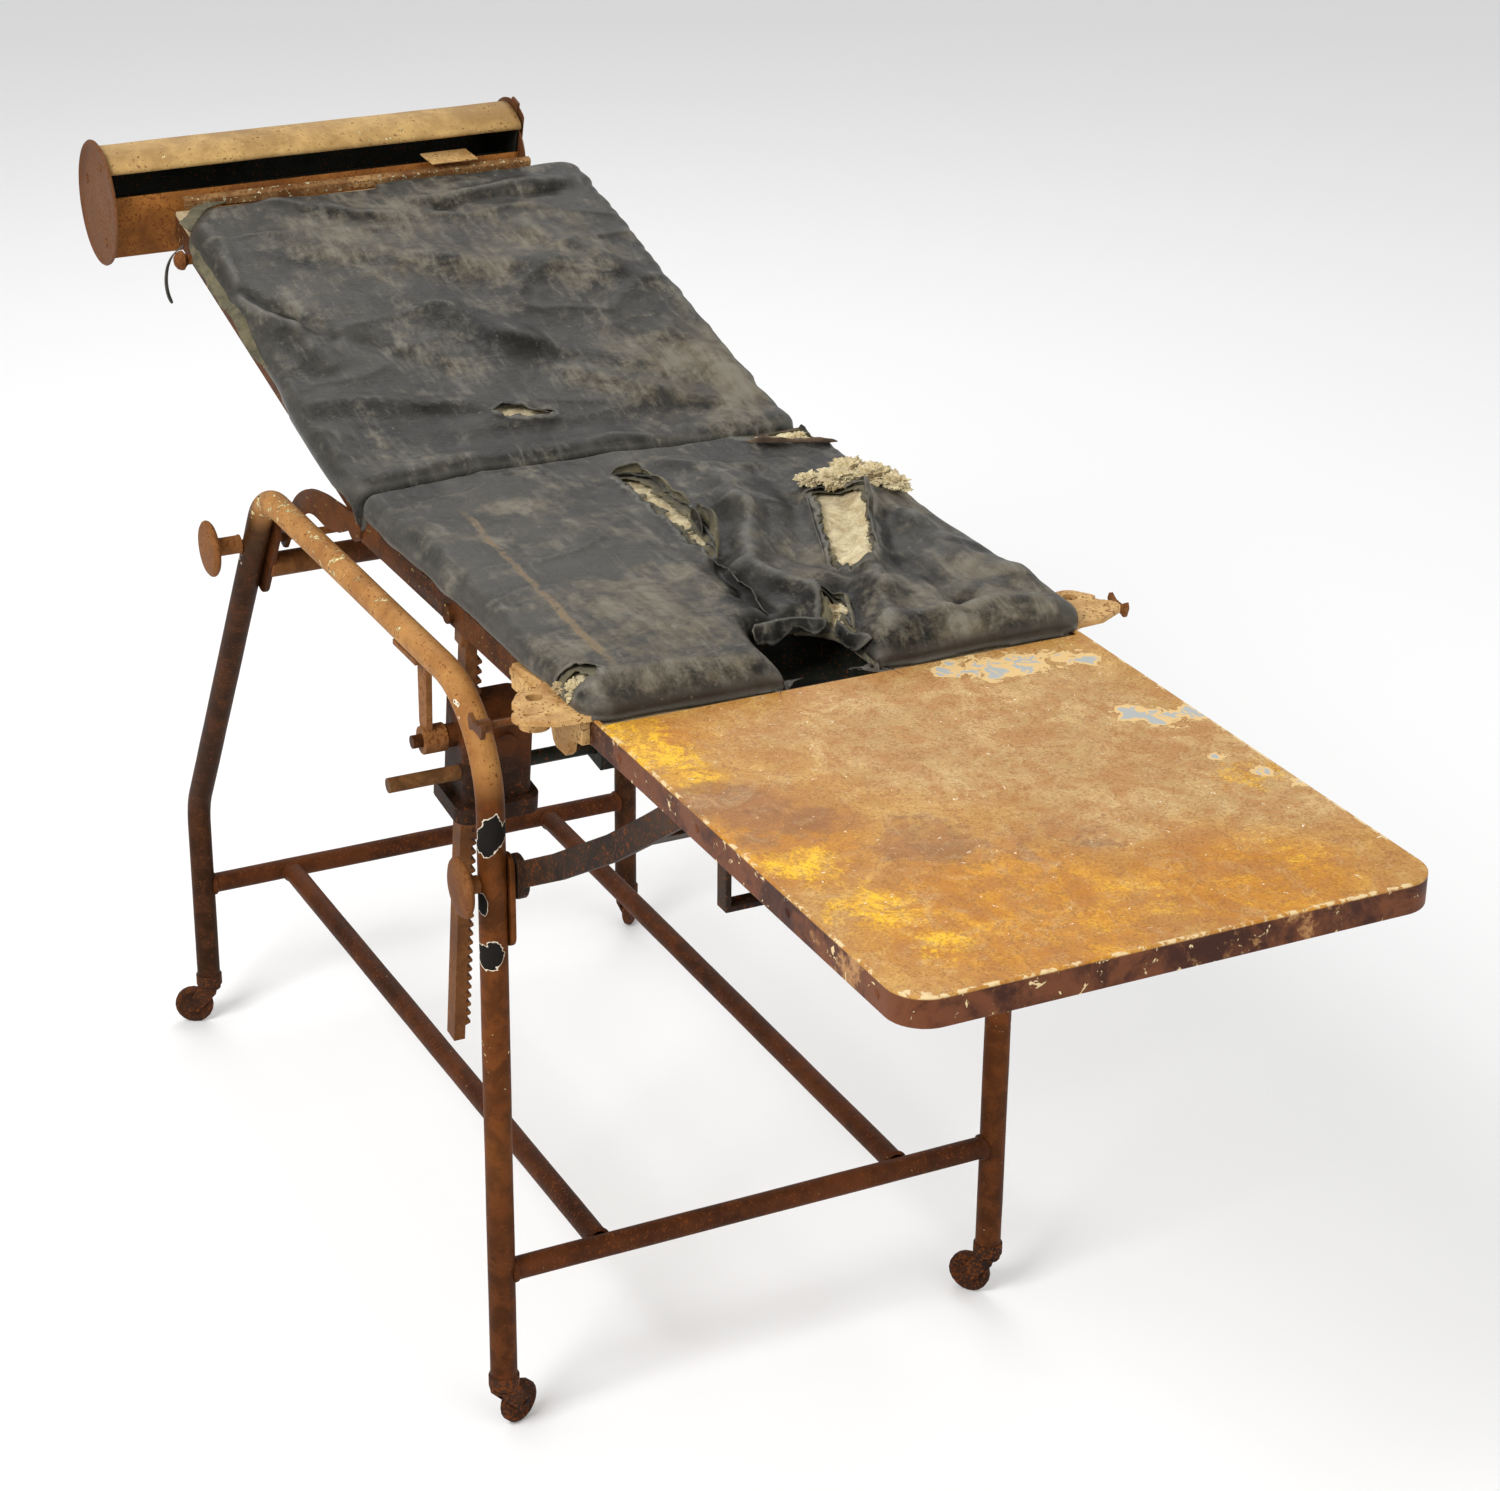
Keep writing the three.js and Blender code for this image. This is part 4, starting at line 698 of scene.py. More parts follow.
def on_roll(radius, angle):
    return ROLL_X + radius * math.cos(angle), ROLL_Z + radius * math.sin(angle)


def roll_cover(rows=60, steps=54):
    """The holder's bent sheet: a flat wall, round the roll, and a small rolled bead that stiffens the lip."""
    start = math.atan2(-52.5, ROLL_WALL_X - ROLL_X)
    lip = math.radians(64) - 2 * math.pi
    outer = [(ROLL_WALL_X, ROLL_Z + 18.5), (ROLL_WALL_X, ROLL_Z - 10), (ROLL_WALL_X, ROLL_Z - 50)]
    outer += [on_roll(ROLL_R, start + (lip - start) * k / steps) for k in range(steps + 1)]
    end = Vector(outer[-1])
    outward = Vector((math.cos(lip), math.sin(lip)))
    onward = Vector((math.sin(lip), -math.cos(lip)))
    for k in range(1, 8):
        a = math.pi * 1.5 * k / 7
        p = end - outward * LIP_BEAD + outward * LIP_BEAD * math.cos(a) + onward * LIP_BEAD * math.sin(a)
        outer.append((p.x, p.y))
    verts, faces = [], []
    count = len(outer)
    for r in range(rows + 1):
        y = ROLL_NEAR_Y + (ROLL_FAR_Y - ROLL_NEAR_Y) * r / rows
        for i, (x, z) in enumerate(outer):
            dent = 1.1 * noise.noise(Vector((y * 0.014, i * 0.09, 3.0)))
            shift = Vector((x - ROLL_X, z - ROLL_Z)).normalized() * (dent - 0.7 if i > 3 else 0.0)
            verts.append(back_point(x + shift.x, y, z + shift.y))
    for r in range(rows):
        for i in range(count - 1):
            a = r * count + i
            faces.append((a, a + 1, a + count + 1, a + count))
    piece = new_object("roll_cover", verts, faces, ROLL_PAINT, 60.0)
    piece.data.materials.append(WALL_PAINT)
    piece.data.materials.append(SHAFT_PAINT)
    for polygon in piece.data.polygons:
        if polygon.vertices[0] % count < 3:
            polygon.material_index = 1
    thicken(piece, 1.6, 1.0).material_offset = 2
    return piece


def clipped_disc(radius, clip_x, steps=60):
    """A circle's outline about the roll's axis, cut flat at clip_x on the pad's side."""
    circle = [on_roll(radius, 2 * math.pi * k / steps) for k in range(steps)]
    return [(min(x, clip_x), z) for x, z in circle]


settle(roll_cover(), "backrest", "frame_paint", "roll_housing")
near_disc = [(0, -280.6), (20, -281.0), (45, -281.2), (58, -281.3), (61.5, -282.4), (64, -282.2), (65, -280.9),
             (64.4, -279.2), (62, -278.7), (0, -278.7)]
pressed = turned("roll_disc_near_pressed", near_disc, (ROLL_X, ROLL_Z), DISC_PAINT, 72, back_point)
settle(pressed, "backrest", "frame_paint", "roll_disc_near")
refined("roll_disc_far", DISC_PAINT, 0.6)
for name, radius, y0, y1, material in (
    ("roll_end_inner", 54.5, 174.6, 176.4, SHAFT_PAINT), ("roll_end_rim", 62.0, 181.4, 182.8, DISC_PAINT),
):
    end_plate = plate(name, clipped_disc(radius, -595.0), y0, y1, material, 0.4, back_point)
    settle(end_plate, "backrest", "frame_paint")
screw = [(0, -282.1), (3.0, -282.8), (4.6, -282.2), (5.0, -281.2), (0, -281.0)]
for index, (dx, dz) in enumerate(((30, -30), (-38, 8), (6, 44))):
    rivet = turned(f"roll_rivet_{index}", screw, (ROLL_X + dx, ROLL_Z + dz), DISC_PAINT, 14, back_point)
    settle(rivet, "backrest", "frame_paint")
strip = [(-566.5, 19.5), (-566.5, 28.5), (-569.0, 30.5), (-574.0, 30.5), (-574.0, 28.2), (-569.0, 27.8),
         (-569.0, 19.5)]
tab = [(-563.0, 39.6), (-563.0, 41.6), (-598.0, 34.5), (-598.0, 32.5)]
for name, outline, y0, y1, material in (
    ("backrest_head_strip", strip, -205.0, 182.0, BACK_RAIL_PAINT), ("roll_tab", tab, 66.0, 118.0, SOCKET_PAINT),
):
    settle(plate(name, outline, y0, y1, material, 0.5, back_point), "backrest", "frame_paint")


# ---------------------------------------------------------------- upholstery
# One oilcloth cover lies over both pads. s runs from the hinge crease: positive along the seat,
# negative up the backrest; t runs across. Heights are above the boards' planes.
CREASE_X = 474.0
SEAT_TOP, BACK_TOP = 787.0, 34.5
PAD_HALF = 231.0
SEAT_LENGTH, BACK_LENGTH = 525.0, 560.0
NOTCH_S, NOTCH_T, NOTCH_HALF = 424.0, -12.0, 43.0
COVER_REACH = 34.0  # how far the cover reaches past the outline before it is tucked


def polygon_distance(points, polygon):
    """Signed distance (negative inside) from each point to a closed polygon."""
    poly = np.array(polygon, float)
    best = np.full(len(points), 1e9)
    inside = np.zeros(len(points), bool)
    for a, b in zip(poly, np.roll(poly, -1, axis=0)):
        edge, rel = b - a, points - a
        f = np.clip((rel @ edge) / (edge @ edge), 0, 1)
        best = np.minimum(best, np.linalg.norm(rel - f[:, None] * edge, axis=1))
        crosses = (a[1] > points[:, 1]) != (b[1] > points[:, 1])
        with np.errstate(divide="ignore", invalid="ignore"):
            x = (b[0] - a[0]) * (points[:, 1] - a[1]) / (b[1] - a[1]) + a[0]
        inside ^= crosses & (points[:, 0] < x)
    return np.where(inside, -best, best)


def waves(points, scale, seed, octaves=3):
    """Smooth noise, about -1 to 1, whose features are scale mm across."""
    return np.array([noise.fractal(Vector((a / scale, b / scale, seed)), 0.9, 2.0, octaves) for a, b in points])


def twin_waves(points, scale, seed, second_seed, octaves):
    return np.stack([waves(points, scale, seed, octaves), waves(points, scale, second_seed, octaves)], axis=1)


def slope_of(distance, points, step, least):
    """The unit slope of distance at points; it is shorter where the slope is under least."""
    along, across = np.array([step, 0]), np.array([0, step])
    slope = np.stack([distance(points + along) - distance(points - along),
                      distance(points + across) - distance(points - across)], axis=1) / (2 * step)
    return slope / np.maximum(np.linalg.norm(slope, axis=1), least)[:, None]


def rounded_box(points, s0, s1, half, radius):
    centre, extent = (s0 + s1) / 2, (s1 - s0) / 2
    q = np.abs(points - np.array([centre, 0.0])) - np.array([extent - radius, half - radius])
    return np.linalg.norm(np.maximum(q, 0), axis=1) + np.minimum(np.max(q, axis=1), 0) - radius


def smooth_max(a, b, k):
    h = np.clip(0.5 + 0.5 * (a - b) / k, 0, 1)
    return a * h + b * (1 - h) + k * h * (1 - h)


def pad_distance(points):
    s, t = points[:, 0], points[:, 1]
    waist = 6.0 * np.exp(-(s / 16.0) ** 2)
    ragged = np.array([noise.noise(Vector((p[0] / 55, p[1] / 55, 4.2))) for p in points])
    frayed = np.array([noise.noise(Vector((p[0] / 17, p[1] / 60, 8.8))) for p in points])
    drawn_in = 9.0 / (1 + np.exp((s + 205) / 22.0)) * (t < 0)
    loose = (s < -10) & (t > 0)
    outer = rounded_box(points, -BACK_LENGTH, SEAT_LENGTH, PAD_HALF, 22.0) + waist + drawn_in
    outer += 2.2 * ragged + np.where(loose, 3.5 * frayed, 0.0)
    chamfer = -0.616 * s - 0.788 * t - 490.0 + 3.0 * ragged
    outer = smooth_max(outer, chamfer, 12.0)
    bay_s, bay_t = s - (NOTCH_S + NOTCH_HALF), t - NOTCH_T
    notch = np.where(bay_s < 0, np.hypot(bay_s, bay_t), np.abs(bay_t)) - NOTCH_HALF + 3.0 * ragged
    return smooth_max(outer, -notch, 12.0)


def on_pads(s, t, height):
    """Row-frame points: height is measured above the cover's nominal top."""
    c, k = math.cos(BACK_ANGLE), math.sin(BACK_ANGLE)
    seat = np.stack([CREASE_X + s, t, SEAT_TOP + height], axis=1)
    w = BACK_TOP + height
    back = np.stack([HINGE[0] + s * c + w * k, t, HINGE[1] - s * k + w * c], axis=1)
    f = np.clip((s + 16.0) / 32.0, 0, 1)
    f = (f * f * (3 - 2 * f))[:, None]
    mm = back * (1 - f) + seat * f
    return mm * MM + np.array([ORIGIN_X, 0, 0])


LONG_TEAR = [(91, -6), (134, -6), (229, -10), (295, -11), (262, 4), (227, 13), (181, 20), (86, 25), (66, -2)]
FAR_HOLE = [
    (186, 140), (190, 166), (219, 179), (262, 160), (312, 137), (368, 112),
    (372, 98), (338, 84), (290, 103), (226, 127),
]
SLIT = [(-101, -58), (-109, -40), (-105, -22), (-87, 6), (-80, -2), (-84, -18), (-86, -36)]
HINGE_TEAR = [(6, 146), (2, 176), (8, 216), (24, 240), (60, 234), (52, 209), (40, 180), (26, 150)]
NOTCH_TEAR = [(388, 36), (398, 50), (423, 52), (455, 38), (496, 20), (474, 12), (440, 24), (410, 32)]
CORNER_TEAR = [(462, -238), (468, -216), (486, -206), (500, -214), (492, -236)]
TEARS = (LONG_TEAR, FAR_HOLE, SLIT, HINGE_TEAR, NOTCH_TEAR, CORNER_TEAR)


def tear_distance(points, jag, seed, shrink=0.0):
    nearest = np.full(len(points), 1e9)
    for tear in TEARS:
        nearest = np.minimum(nearest, polygon_distance(points, tear))
    close = nearest < 60
    rough = np.zeros(len(points))
    rough[close] = jag * waves(points[close], 13.0, seed, 4)
    return nearest + rough + shrink


# listed folds: start (s, t), end (s, t), half width and height, all mm
FOLDS = (
    ((300, -8), (419, -19), 7, -9), ((325, 8), (413, 30), 15, 11), ((133, 72), (218, 54), 17, 9),
    ((218, 54), (308, 23), 14, 10), ((110, 129), (192, 118), 15, -6), ((192, 118), (301, 80), 14, -7),
    ((331, 116), (437, 78), 13, 11), ((437, 78), (505, 56), 12, 8), ((392, 62), (470, 40), 11, -8),
    ((225, 190), (306, 186), 17, 9), ((306, 186), (447, 202), 20, 8), ((196, 182), (266, 164), 10, 9),
    ((266, 164), (353, 122), 9, 9), ((366, 141), (466, 139), 13, -8), ((466, 139), (505, 128), 11, -6),
    ((496, 42), (499, 190), 12, 6), ((60, 60), (130, 110), 16, 6), ((300, 60), (380, 90), 12, -7),
    ((150, 205), (230, 215), 12, 6), ((337, -136), (462, -75), 42, 6), ((500, -215), (500, -75), 14, 4),
    ((60, -90), (260, -60), 30, 4), ((120, -200), (330, -190), 24, 3), ((300, -40), (420, -50), 14, 5),
    ((-378, -209), (-331, -180), 9, -6), ((-331, -180), (-277, -153), 10, -6),
    ((-366, -222), (-290, -192), 13, 6), ((-290, -192), (-230, -172), 13, 5),
    ((-498, -204), (-378, -211), 11, 4), ((-505, 30), (-511, 191), 10, 5), ((-490, 40), (-494, 180), 9, -4),
    ((-317, -43), (-222, 25), 26, 6), ((-222, 25), (-158, 127), 22, 6), ((-450, -120), (-380, 20), 28, 6),
    ((-380, 20), (-330, 150), 24, 5), ((-160, -200), (-120, -60), 16, 4), ((-150, 60), (-60, 180), 16, 6),
    ((-200, 180), (-60, 225), 14, 5), ((-420, 120), (-300, 200), 16, 5), ((-540, -120), (-480, -20), 12, 4),
    ((-260, -120), (-180, -60), 14, -5),
)


def placed_folds(points):
    total = np.zeros(len(points))
    moved = points + 7.0 * twin_waves(points, 60.0, 13.1, 14.4, 3)
    for start, end, width, height in FOLDS:
        a, edge = np.array(start, float), np.array(end, float) - np.array(start, float)
        rel = moved - a
        f = np.clip((rel @ edge) / (edge @ edge), 0, 1)
        d = np.linalg.norm(rel - f[:, None] * edge, axis=1)
        total += height * np.exp(-(d / width) ** 2)
    return total


def folds(points):
    """The cover's shape in mm: soft swells, placed folds, fine creases and the crumpled far half of the seat."""
    s, t = points[:, 0], points[:, 1]
    swell = 4.0 * waves(points, 190.0, 1.7, 2)
    warped = points + 26.0 * twin_waves(points, 120.0, 8.1, 9.4, 2)
    ridge = 1.0 - np.abs(waves(warped * np.array([1.0, 0.55]), 90.0, 3.3, 2)) * 2.2
    crease = 2.2 * np.clip(ridge, 0, 1) ** 3
    ridge_two = 1.0 - np.abs(waves(warped * np.array([0.5, 1.0]), 58.0, 6.6, 2)) * 2.6
    crease += 0.8 * np.clip(ridge_two, 0, 1) ** 3
    crumple_zone = 1 / (1 + np.exp(-(s - 100) / 25.0)) * 1 / (1 + np.exp(-(t - 25) / 14.0))
    crumple = crumple_zone * (5.0 * waves(points, 85.0, 7.7, 2) + 2.2 * waves(points, 34.0, 9.7, 2))
    lobes = 5.0 * np.exp(-((s - 455) / 70.0) ** 2)
    return swell + crease + crumple + lobes + placed_folds(points)


def sheet_grid(spacing, reach, keep):
    """A grid over the pads cut to keep(points) < 0 and to within reach mm outside the outline."""
    s = np.arange(-BACK_LENGTH - reach, SEAT_LENGTH + reach, spacing)
    t = np.arange(-PAD_HALF - reach, PAD_HALF + reach, spacing)
    grid_s, grid_t = np.meshgrid(s, t, indexing="ij")
    points = np.stack([grid_s.ravel(), grid_t.ravel()], axis=1)
    # pull the points beside a torn edge onto it, so the edge isn't stepped
    cut = keep(points)
    beside = np.abs(cut) < spacing * 0.75
    points[beside] -= slope_of(keep, points[beside], 0.5, 0.3) * cut[beside][:, None] * 0.95
    cut[beside] = 0.0
    rows, columns = len(s), len(t)
    index = np.arange(rows * columns).reshape(rows, columns)
    quads = np.stack([index[:-1, :-1], index[1:, :-1], index[1:, 1:], index[:-1, 1:]], axis=-1).reshape(-1, 4)
    outside = pad_distance(points)[quads].max(axis=1)
    quads = quads[(cut[quads].max(axis=1) <= 0.01) & (cut[quads].min(axis=1) < -0.01) & (outside < reach)]
    used = np.unique(quads)
    renumber = np.full(rows * columns, -1)
    renumber[used] = np.arange(len(used))
    return points[used], renumber[quads]


def wrap(points, edge, side, tuck):
    """Rolls what lies outside the outline round its edge: returns flat places, drops and depths inside, in mm."""
    d0 = pad_distance(points)
    d = np.maximum(d0 + edge, 0.0)
    slope = slope_of(pad_distance, points, 1.0, 1e-6)
    base = points - slope * d[:, None]
    quarter = edge * math.pi / 2
    a = np.minimum(d, quarter) / edge
    out = edge * np.sin(a)
    drop = edge * (1 - np.cos(a))
    beyond = np.maximum(d - quarter, 0.0)
    drop += np.minimum(beyond, side)
    under = np.maximum(beyond - side, 0.0)
    out -= np.minimum(under, tuck)
    return base + slope * out[:, None], drop, np.maximum(-d0, 0.0)


def pad_cover(name, material, lower, jag, seed, shrink, curl, only_near_tears=None, thickness=1.2):
    """A cloth over both pads, lower mm under the cover's top, with its tears widened by shrink and curled up."""
    def keep(points):
        far_hole = polygon_distance(points, FAR_HOLE) < 20
        cut = -tear_distance(points, jag, seed, np.where(far_hole, shrink * 0.4, shrink))
        if only_near_tears is not None:
            cut = np.maximum(cut, tear_distance(points, 6.0, seed + 2.0) - only_near_tears)
            cut = np.maximum(cut, 25.0 - polygon_distance(points, SLIT))
        return cut

    points, quads = sheet_grid(SPACING, COVER_REACH, keep)
    flat, drop, inside = wrap(points, 13.0, 7.0, 12.0)
    gap = np.maximum(tear_distance(points, jag, seed, shrink), 0.0)
    lift = curl * np.clip(1 - gap / 16.0, 0, 1) ** 2 * (0.5 + 0.7 * waves(points, 22.0, seed + 6.0, 2))
    calm = np.clip(inside / 14.0, 0.25, 1.0)
    crown = 3.5 * (1 - np.exp(-inside / 38.0))
    s = points[:, 0]
    raised = np.where(s < 0, 8.0 * np.exp(-((s + 24) / 22.0) ** 2), 0.0)
    groove = -19.0 * np.exp(-(s / 6.5) ** 2)
    height = crown + folds(points) * calm - 2.5 - drop - lower + lift + raised + groove
    verts = on_pads(flat[:, 0], flat[:, 1], height)
    piece = new_object(name, verts, [tuple(q) for q in quads.tolist()], material, 80.0)
    thicken(piece, thickness)
    return piece


SPACING = 3.6
oil = pad_cover("oilcloth_cover", OILCLOTH, 0.0, 5.0, 2.2, 0.0, 5.0)
lining = pad_cover("lining_cloth", CANVAS, 2.4, 6.5, 7.3, 7.0, 2.0, only_near_tears=26.0, thickness=0.8)
for piece in (oil, lining):
    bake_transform(piece)


def stuffing(name, s0, s1, body, node):
    """The cotton filling of one pad: a lumpy slab under the cover, seen through the tears."""
    inset = 7.0

    def keep(points):
        return np.maximum(pad_distance(points) + inset, rounded_box(points, s0, s1, 400.0, 4.0))

    points, quads = sheet_grid(5.0, 0.0, keep)
    inside = np.maximum(-pad_distance(points) - inset, 0.0)
    height = 3.0 * (1 - np.exp(-inside / 38.0)) + folds(points) - 9.0 + 2.2 * waves(points, 17.0, 12.0, 4)
    height -= 6.0 * np.exp(-inside / 6.0)
    floor = np.where(points[:, 0] > 0, -22.5, -13.0)
    top = on_pads(points[:, 0], points[:, 1], np.maximum(height, floor + 1.5))
    bottom = on_pads(points[:, 0], points[:, 1], floor)
    count = len(points)
    faces = [tuple(q) for q in quads.tolist()]
    edges = dict.fromkeys(edge for q in faces for edge in zip(q, q[1:] + q[:1]))
    walls = [(b, a, a + count, b + count) for a, b in edges if (b, a) not in edges]
    under = [tuple(i + count for i in reversed(q)) for q in faces]
    piece = fix_normals(new_object(name, np.concatenate([top, bottom]), faces + under + walls, BATTING, 60.0))
    settle(piece, body, "oilcloth", node)
    return piece


stuffing("seat_stuffing", 10.0, SEAT_LENGTH, "seat", "seat_cushion")
stuffing("backrest_stuffing", -BACK_LENGTH, -22.0, "backrest", "backrest_cushion")


def tuft(name, place, height, size, seed):
    """A lump of batting pulled out of the seat at an (s, t) place."""
    bm = bmesh.new()
    bmesh.ops.create_icosphere(bm, subdivisions=5, radius=1.0)
    centre = Vector(on_pads(*(np.array([float(value)]) for value in (*place, height)))[0])
    coarse, fine = Vector((seed, 0, 0)), Vector((seed, 3, 0))
    for v in bm.verts:
        p = v.co.copy()
        pull = 1.0 + 0.5 * noise.fractal(p * 1.5 + coarse, 0.7, 2.1, 5)
        pull += 0.30 * noise.fractal(p * 6 + fine, 0.6, 2.2, 4)
        v.co = Vector((p.x * size[0], p.y * size[1], p.z * size[2])) * MM * pull + centre
    mesh = bpy.data.meshes.new(name)
    bm.to_mesh(mesh)
    bm.free()
    piece = settle(piece_of(name, mesh, BATTING, 70.0), "seat", "oilcloth")


for index, (place, height, size) in enumerate((
    ((188, 170), 12, (13, 17, 8)), ((172, 186), 13, (12, 14, 9)), ((196, 200), 12, (14, 18, 9)),
    ((212, 214), 9, (15, 12, 7)), ((176, 206), 10, (10, 13, 6)), ((172, 148), 9, (9, 12, 6)),
    ((428, 44), -9, (17, 8, 4)), ((482, -222), -10, (10, 10, 7)), ((468, -228), -12, (7, 7, 5)),
    ((34, 176), -9, (11, 17, 5)), ((22, 208), -10, (10, 13, 5)),
)):
    tuft(f"batting_tuft_{index}", place, height, size, 3.1 * index)


def flap(name, path, outward, width, start_angle, end_angle, material, body, seed, height, ragged):
    """A torn strip of cover standing on a path of (s, t) points, curling from start_angle to end_angle
    degrees (0 lies flat outward, 90 stands up); its free edge is frayed."""
    places = []
    for (a0, b0), (a1, b1) in zip(path, path[1:]):
        parts = max(1, int(math.hypot(a1 - a0, b1 - b0) / 2.5))
        places += [(a0 + (a1 - a0) * k / parts, b0 + (b1 - b0) * k / parts) for k in range(parts)]
    places.append(path[-1])
    steps = 8
    out = Vector(outward).normalized()
    flat, heights = [], []
    for i, (s0, t0) in enumerate(places):
        f = i / (len(places) - 1)
        taper = min(1.0, 6 * f, 6 * (1 - f)) ** 0.6
        here = Vector((s0 / 26, t0 / 26, seed))
        nick = max(0.0, noise.noise(here * 2.9) - 0.25) * 1.6
        fray = 1 + ragged * 1.5 * noise.noise(here) - ragged * nick + 0.12 * ragged * noise.noise(here * 11)
        reach = width * taper * fray + 0.6
        twist = 24 * noise.noise(here * 0.7 + Vector((0, 0, 9)))
        u = w = 0.0
        for j in range(steps + 1):
            flat.append((s0 + out.x * u, t0 + out.y * u))
            heights.append(height + w)
            angle = math.radians(start_angle + (end_angle - start_angle) * j / steps + twist)
            u += reach / steps * math.cos(angle)
            w += reach / steps * math.sin(angle)
    flat = np.array(flat)
    base = np.repeat(np.array(places), steps + 1, axis=0)
    lift = folds(base) * 0.9 + np.array(heights)
    row = steps + 1
    faces = [(i * row + j, i * row + j + 1, (i + 1) * row + j + 1, (i + 1) * row + j)
             for i in range(len(places) - 1) for j in range(steps)]
    piece = new_object(name, on_pads(flat[:, 0], flat[:, 1], lift), faces, material, 80.0)
    thicken(piece, 1.0, 0.0)
    settle(piece, body, "oilcloth")


# name, path, way out, width, first and last angle, cloth, body, seed, height and raggedness
FLAPS = (
    ("tear_flap_long", [(70, 26), (86, 28), (130, 26), (181, 23)],
     (0.1, 1.0), 12, 60, 185, CANVAS, "seat", 2.0, 1.0, 0.3),
    ("tear_flap_tall", [(196, 22), (227, 18), (262, 8), (292, -5)],
     (0.35, 1.0), 19, 45, 150, CANVAS, "seat", 3.0, 1.0, 0.35),
    ("tear_flap_tip", [(200, 14), (218, 12), (240, 6)],
     (-0.2, -1.0), 15, 100, 60, OILCLOTH, "seat", 4.0, 0.0, 0.3),
    ("tear_flap_head", [(66, -4), (70, 10), (72, 26)],
     (-1.0, 0.1), 11, 60, 170, CANVAS, "seat", 5.0, 0.5, 0.3),
    ("tear_flap_step", [(286, -8), (330, -12), (372, -14), (419, -19)],
     (0.1, 1.0), 12, 25, 160, OILCLOTH, "seat", 5.5, -3.0, 0.25),
    ("far_flap_near", [(186, 136), (226, 124), (290, 100), (336, 82)],
     (-0.2, -1.0), 6, 20, 60, OILCLOTH, "seat", 6.0, 0.0, 0.25),
    ("far_flap_far", [(200, 174), (219, 182), (262, 163), (312, 140), (366, 115)],
     (0.3, 1.0), 9, 60, 180, OILCLOTH, "seat", 7.0, 0.0, 0.4),
    ("far_flap_head", [(176, 138), (174, 152), (186, 168)],
     (-1.0, 0.2), 13, 50, 140, CANVAS, "seat", 8.0, 0.0, 0.3),
    ("notch_flap_far", [(398, 52), (423, 55), (455, 42), (492, 24)],
     (0.4, 1.0), 9, 50, 185, CANVAS, "seat", 9.0, 0.0, 0.3),
    ("notch_fringe", [(452, -50), (436, -40), (429, -16), (436, 8), (448, 22)],
     (1.0, 0.0), 17, -35, -95, OILCLOTH, "seat", 10.0, -6.0, 0.5),
    ("notch_fringe_far", [(452, 30), (478, 33), (506, 34)],
     (-0.1, -1.0), 15, -35, -100, OILCLOTH, "seat", 11.0, -7.0, 0.45),
    ("slit_lip", [(-108, -52), (-111, -36), (-106, -18), (-89, 2)],
     (-1.0, -0.3), 3, 20, 70, OILCLOTH, "backrest", 12.0, 0.0, 0.2),
    ("hinge_flap_seat", [(64, 234), (56, 208), (44, 180), (30, 150)],
     (1.0, -0.4), 8, 20, 100, SOILED, "seat", 13.0, -2.0, 0.8),
    ("hinge_flap_back", [(-6, 236), (-8, 205), (-4, 172), (2, 146)],
     (1.0, 0.0), 13, -25, -70, SOILED, "seat", 13.6, -5.0, 0.8),
    ("hinge_fringe_far", [(6, 222), (40, 225), (90, 224), (150, 223)],
     (0.0, 1.0), 17, -20, -60, SOILED, "seat", 14.0, -13.0, 0.7),
    ("seat_fringe_far", [(150, 222), (240, 224), (330, 223), (420, 223)],
     (0.0, 1.0), 13, -25, -60, OILCLOTH, "seat", 15.0, -13.0, 0.35),
    ("back_fringe_far", [(-530, 222), (-400, 224), (-280, 223), (-150, 225), (-30, 225)],
     (0.0, 1.0), 14, -20, -60, OILCLOTH, "backrest", 16.0, -13.0, 0.35),
    ("back_lining_near", [(-505, -218), (-440, -219), (-330, -218), (-250, -219)],
     (0.0, -1.0), 13, -12, -50, CANVAS, "backrest", 17.0, -13.0, 0.10),
    ("back_lining_corner", [(-512, -216), (-536, -200), (-556, -184), (-566, -160)],
     (-0.7, -0.7), 17, 0, -45, CANVAS, "backrest", 18.0, -12.0, 0.25),
)
for entry in FLAPS:
    flap(*entry)

bolt = [(0, -242), (5, -241), (8.4, -238.5), (10, -235), (10, -232.5), (7.5, -230.5), (5.2, -228), (5.2, -216),
        (0, -216)]
settle(turned("backrest_bolt", bolt, (-488, 8), KNOB_PAINT, 28, back_point), "backrest", "rusty_iron")


def hanging_strip(path):
    """A loose end of binding that hangs from the near edge of the backrest, along (u, y, w) points."""
    verts, faces = [], []
    for i, (u, y, w) in enumerate(path):
        half = 3.6 - 0.25 * i
        verts += [back_at(u + k * half * 0.5, y + k * half * 0.8, w + k * half * 0.3) for k in (1, -1)]
        if i:
            faces.append((2 * i - 2, 2 * i - 1, 2 * i + 1, 2 * i))
    piece = new_object("backrest_loose_binding", verts, faces, OILCLOTH, 80.0)
    smoother = piece.modifiers.new("curve", "SUBSURF")
    smoother.levels = smoother.render_levels = 2
    thicken(piece, 1.0)
    settle(piece, "backrest", "oilcloth")


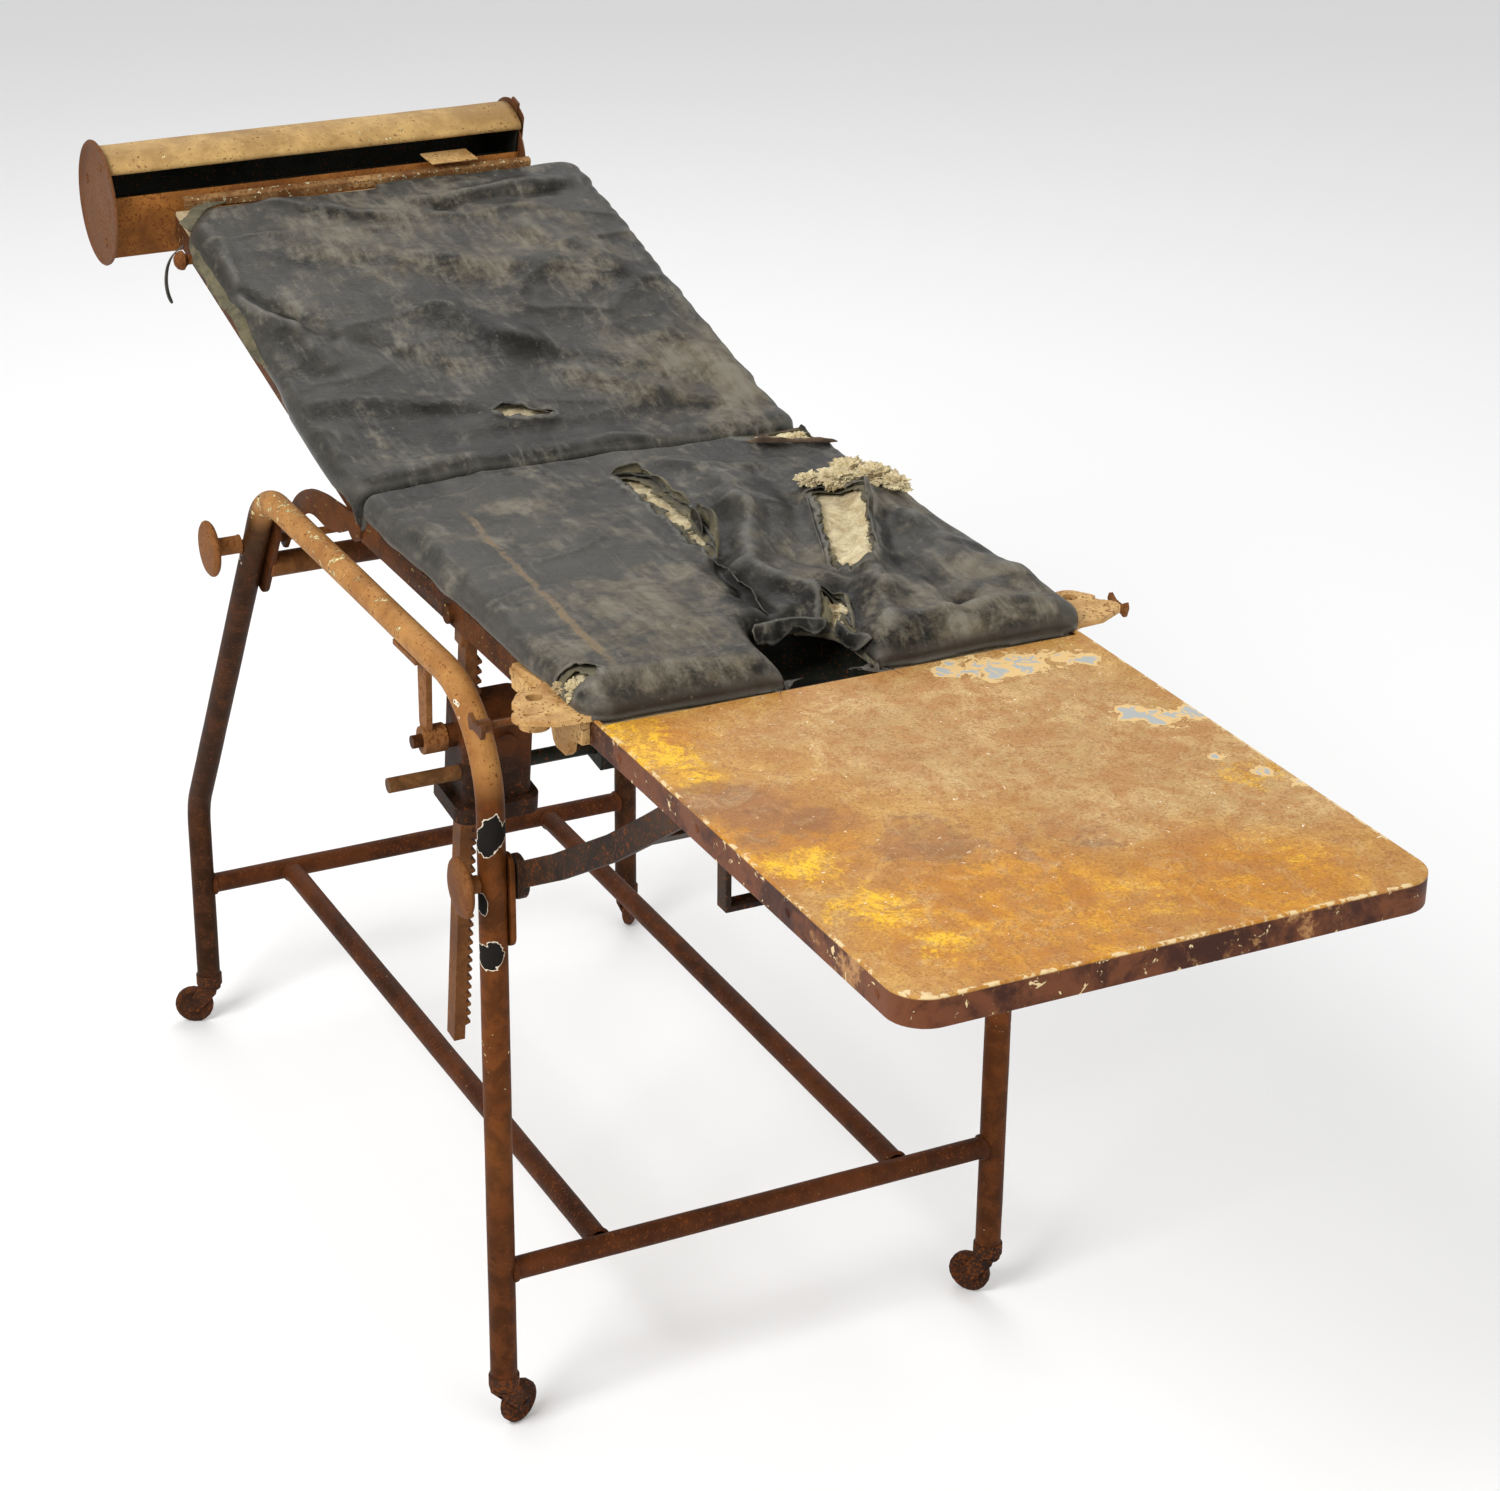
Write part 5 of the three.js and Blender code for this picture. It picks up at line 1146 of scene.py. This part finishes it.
hanging_strip([(504, -226, 14), (503, -234, 11), (500, -241, 5), (496, -246, -3), (490, -249, -12), (484, -250, -20),
               (479, -249, -28), (476, -246, -34)])

# ---------------------------------------------------------------- floor, light and camera
bpy.ops.mesh.primitive_plane_add(size=60, location=(0, 0, 0))
floor = bpy.context.object
floor.name = "floor"
pale = Shader("pale_floor", specular=0.2)
pale.colour = (0.86, 0.86, 0.86)
floor.data.materials.append(pale.finish(0.9))

world = bpy.data.worlds.new("studio")
bpy.context.scene.world = world
world.use_nodes = True
background = world.node_tree.nodes["Background"]
background.inputs["Color"].default_value = (1.0, 1.0, 1.0, 1.0)
background.inputs["Strength"].default_value = 0.72


def area_light(name, position, target, size, power):
    light = bpy.data.lights.new(name, "AREA")
    light.size = size
    light.energy = power
    lamp = bpy.data.objects.new(name, light)
    lamp.location = position
    lamp.rotation_euler = (Vector(target) - Vector(position)).to_track_quat("-Z", "Y").to_euler()
    bpy.context.collection.objects.link(lamp)


area_light("key", (1.2, -2.6, 3.2), (0.0, 0.0, 0.5), 1.6, 120)
area_light("fill", (3.4, 1.4, 1.8), (0.0, 0.0, 0.5), 3.0, 40)
area_light("back", (-2.8, 0.8, 3.2), (0.0, 0.0, 0.6), 2.5, 40)

# the photo's view, solved from the object's straight lines and right angles
YAW, PITCH, ROLL = math.radians(26.69), math.radians(24.68), math.radians(0.61)
forward = Vector((-math.cos(YAW) * math.cos(PITCH), math.sin(YAW) * math.cos(PITCH), -math.sin(PITCH)))
level_right = forward.cross(Vector((0, 0, 1))).normalized()
level_up = level_right.cross(forward)
right = level_right * math.cos(ROLL) + level_up * math.sin(ROLL)
up = level_up * math.cos(ROLL) - level_right * math.sin(ROLL)
camera_data = bpy.data.cameras.new("camera")
camera_data.sensor_width = 36.0
camera_data.lens = 82.91
camera_data.clip_end = 100.0
camera = bpy.data.objects.new("camera", camera_data)
turn = Matrix((right, up, -forward)).transposed().to_4x4()
camera.matrix_world = Matrix.Translation(at(3282.23, -1235.39, 1894.48)) @ turn
bpy.context.collection.objects.link(camera)
bpy.context.scene.camera = camera
bpy.context.scene.view_settings.view_transform = "Standard"
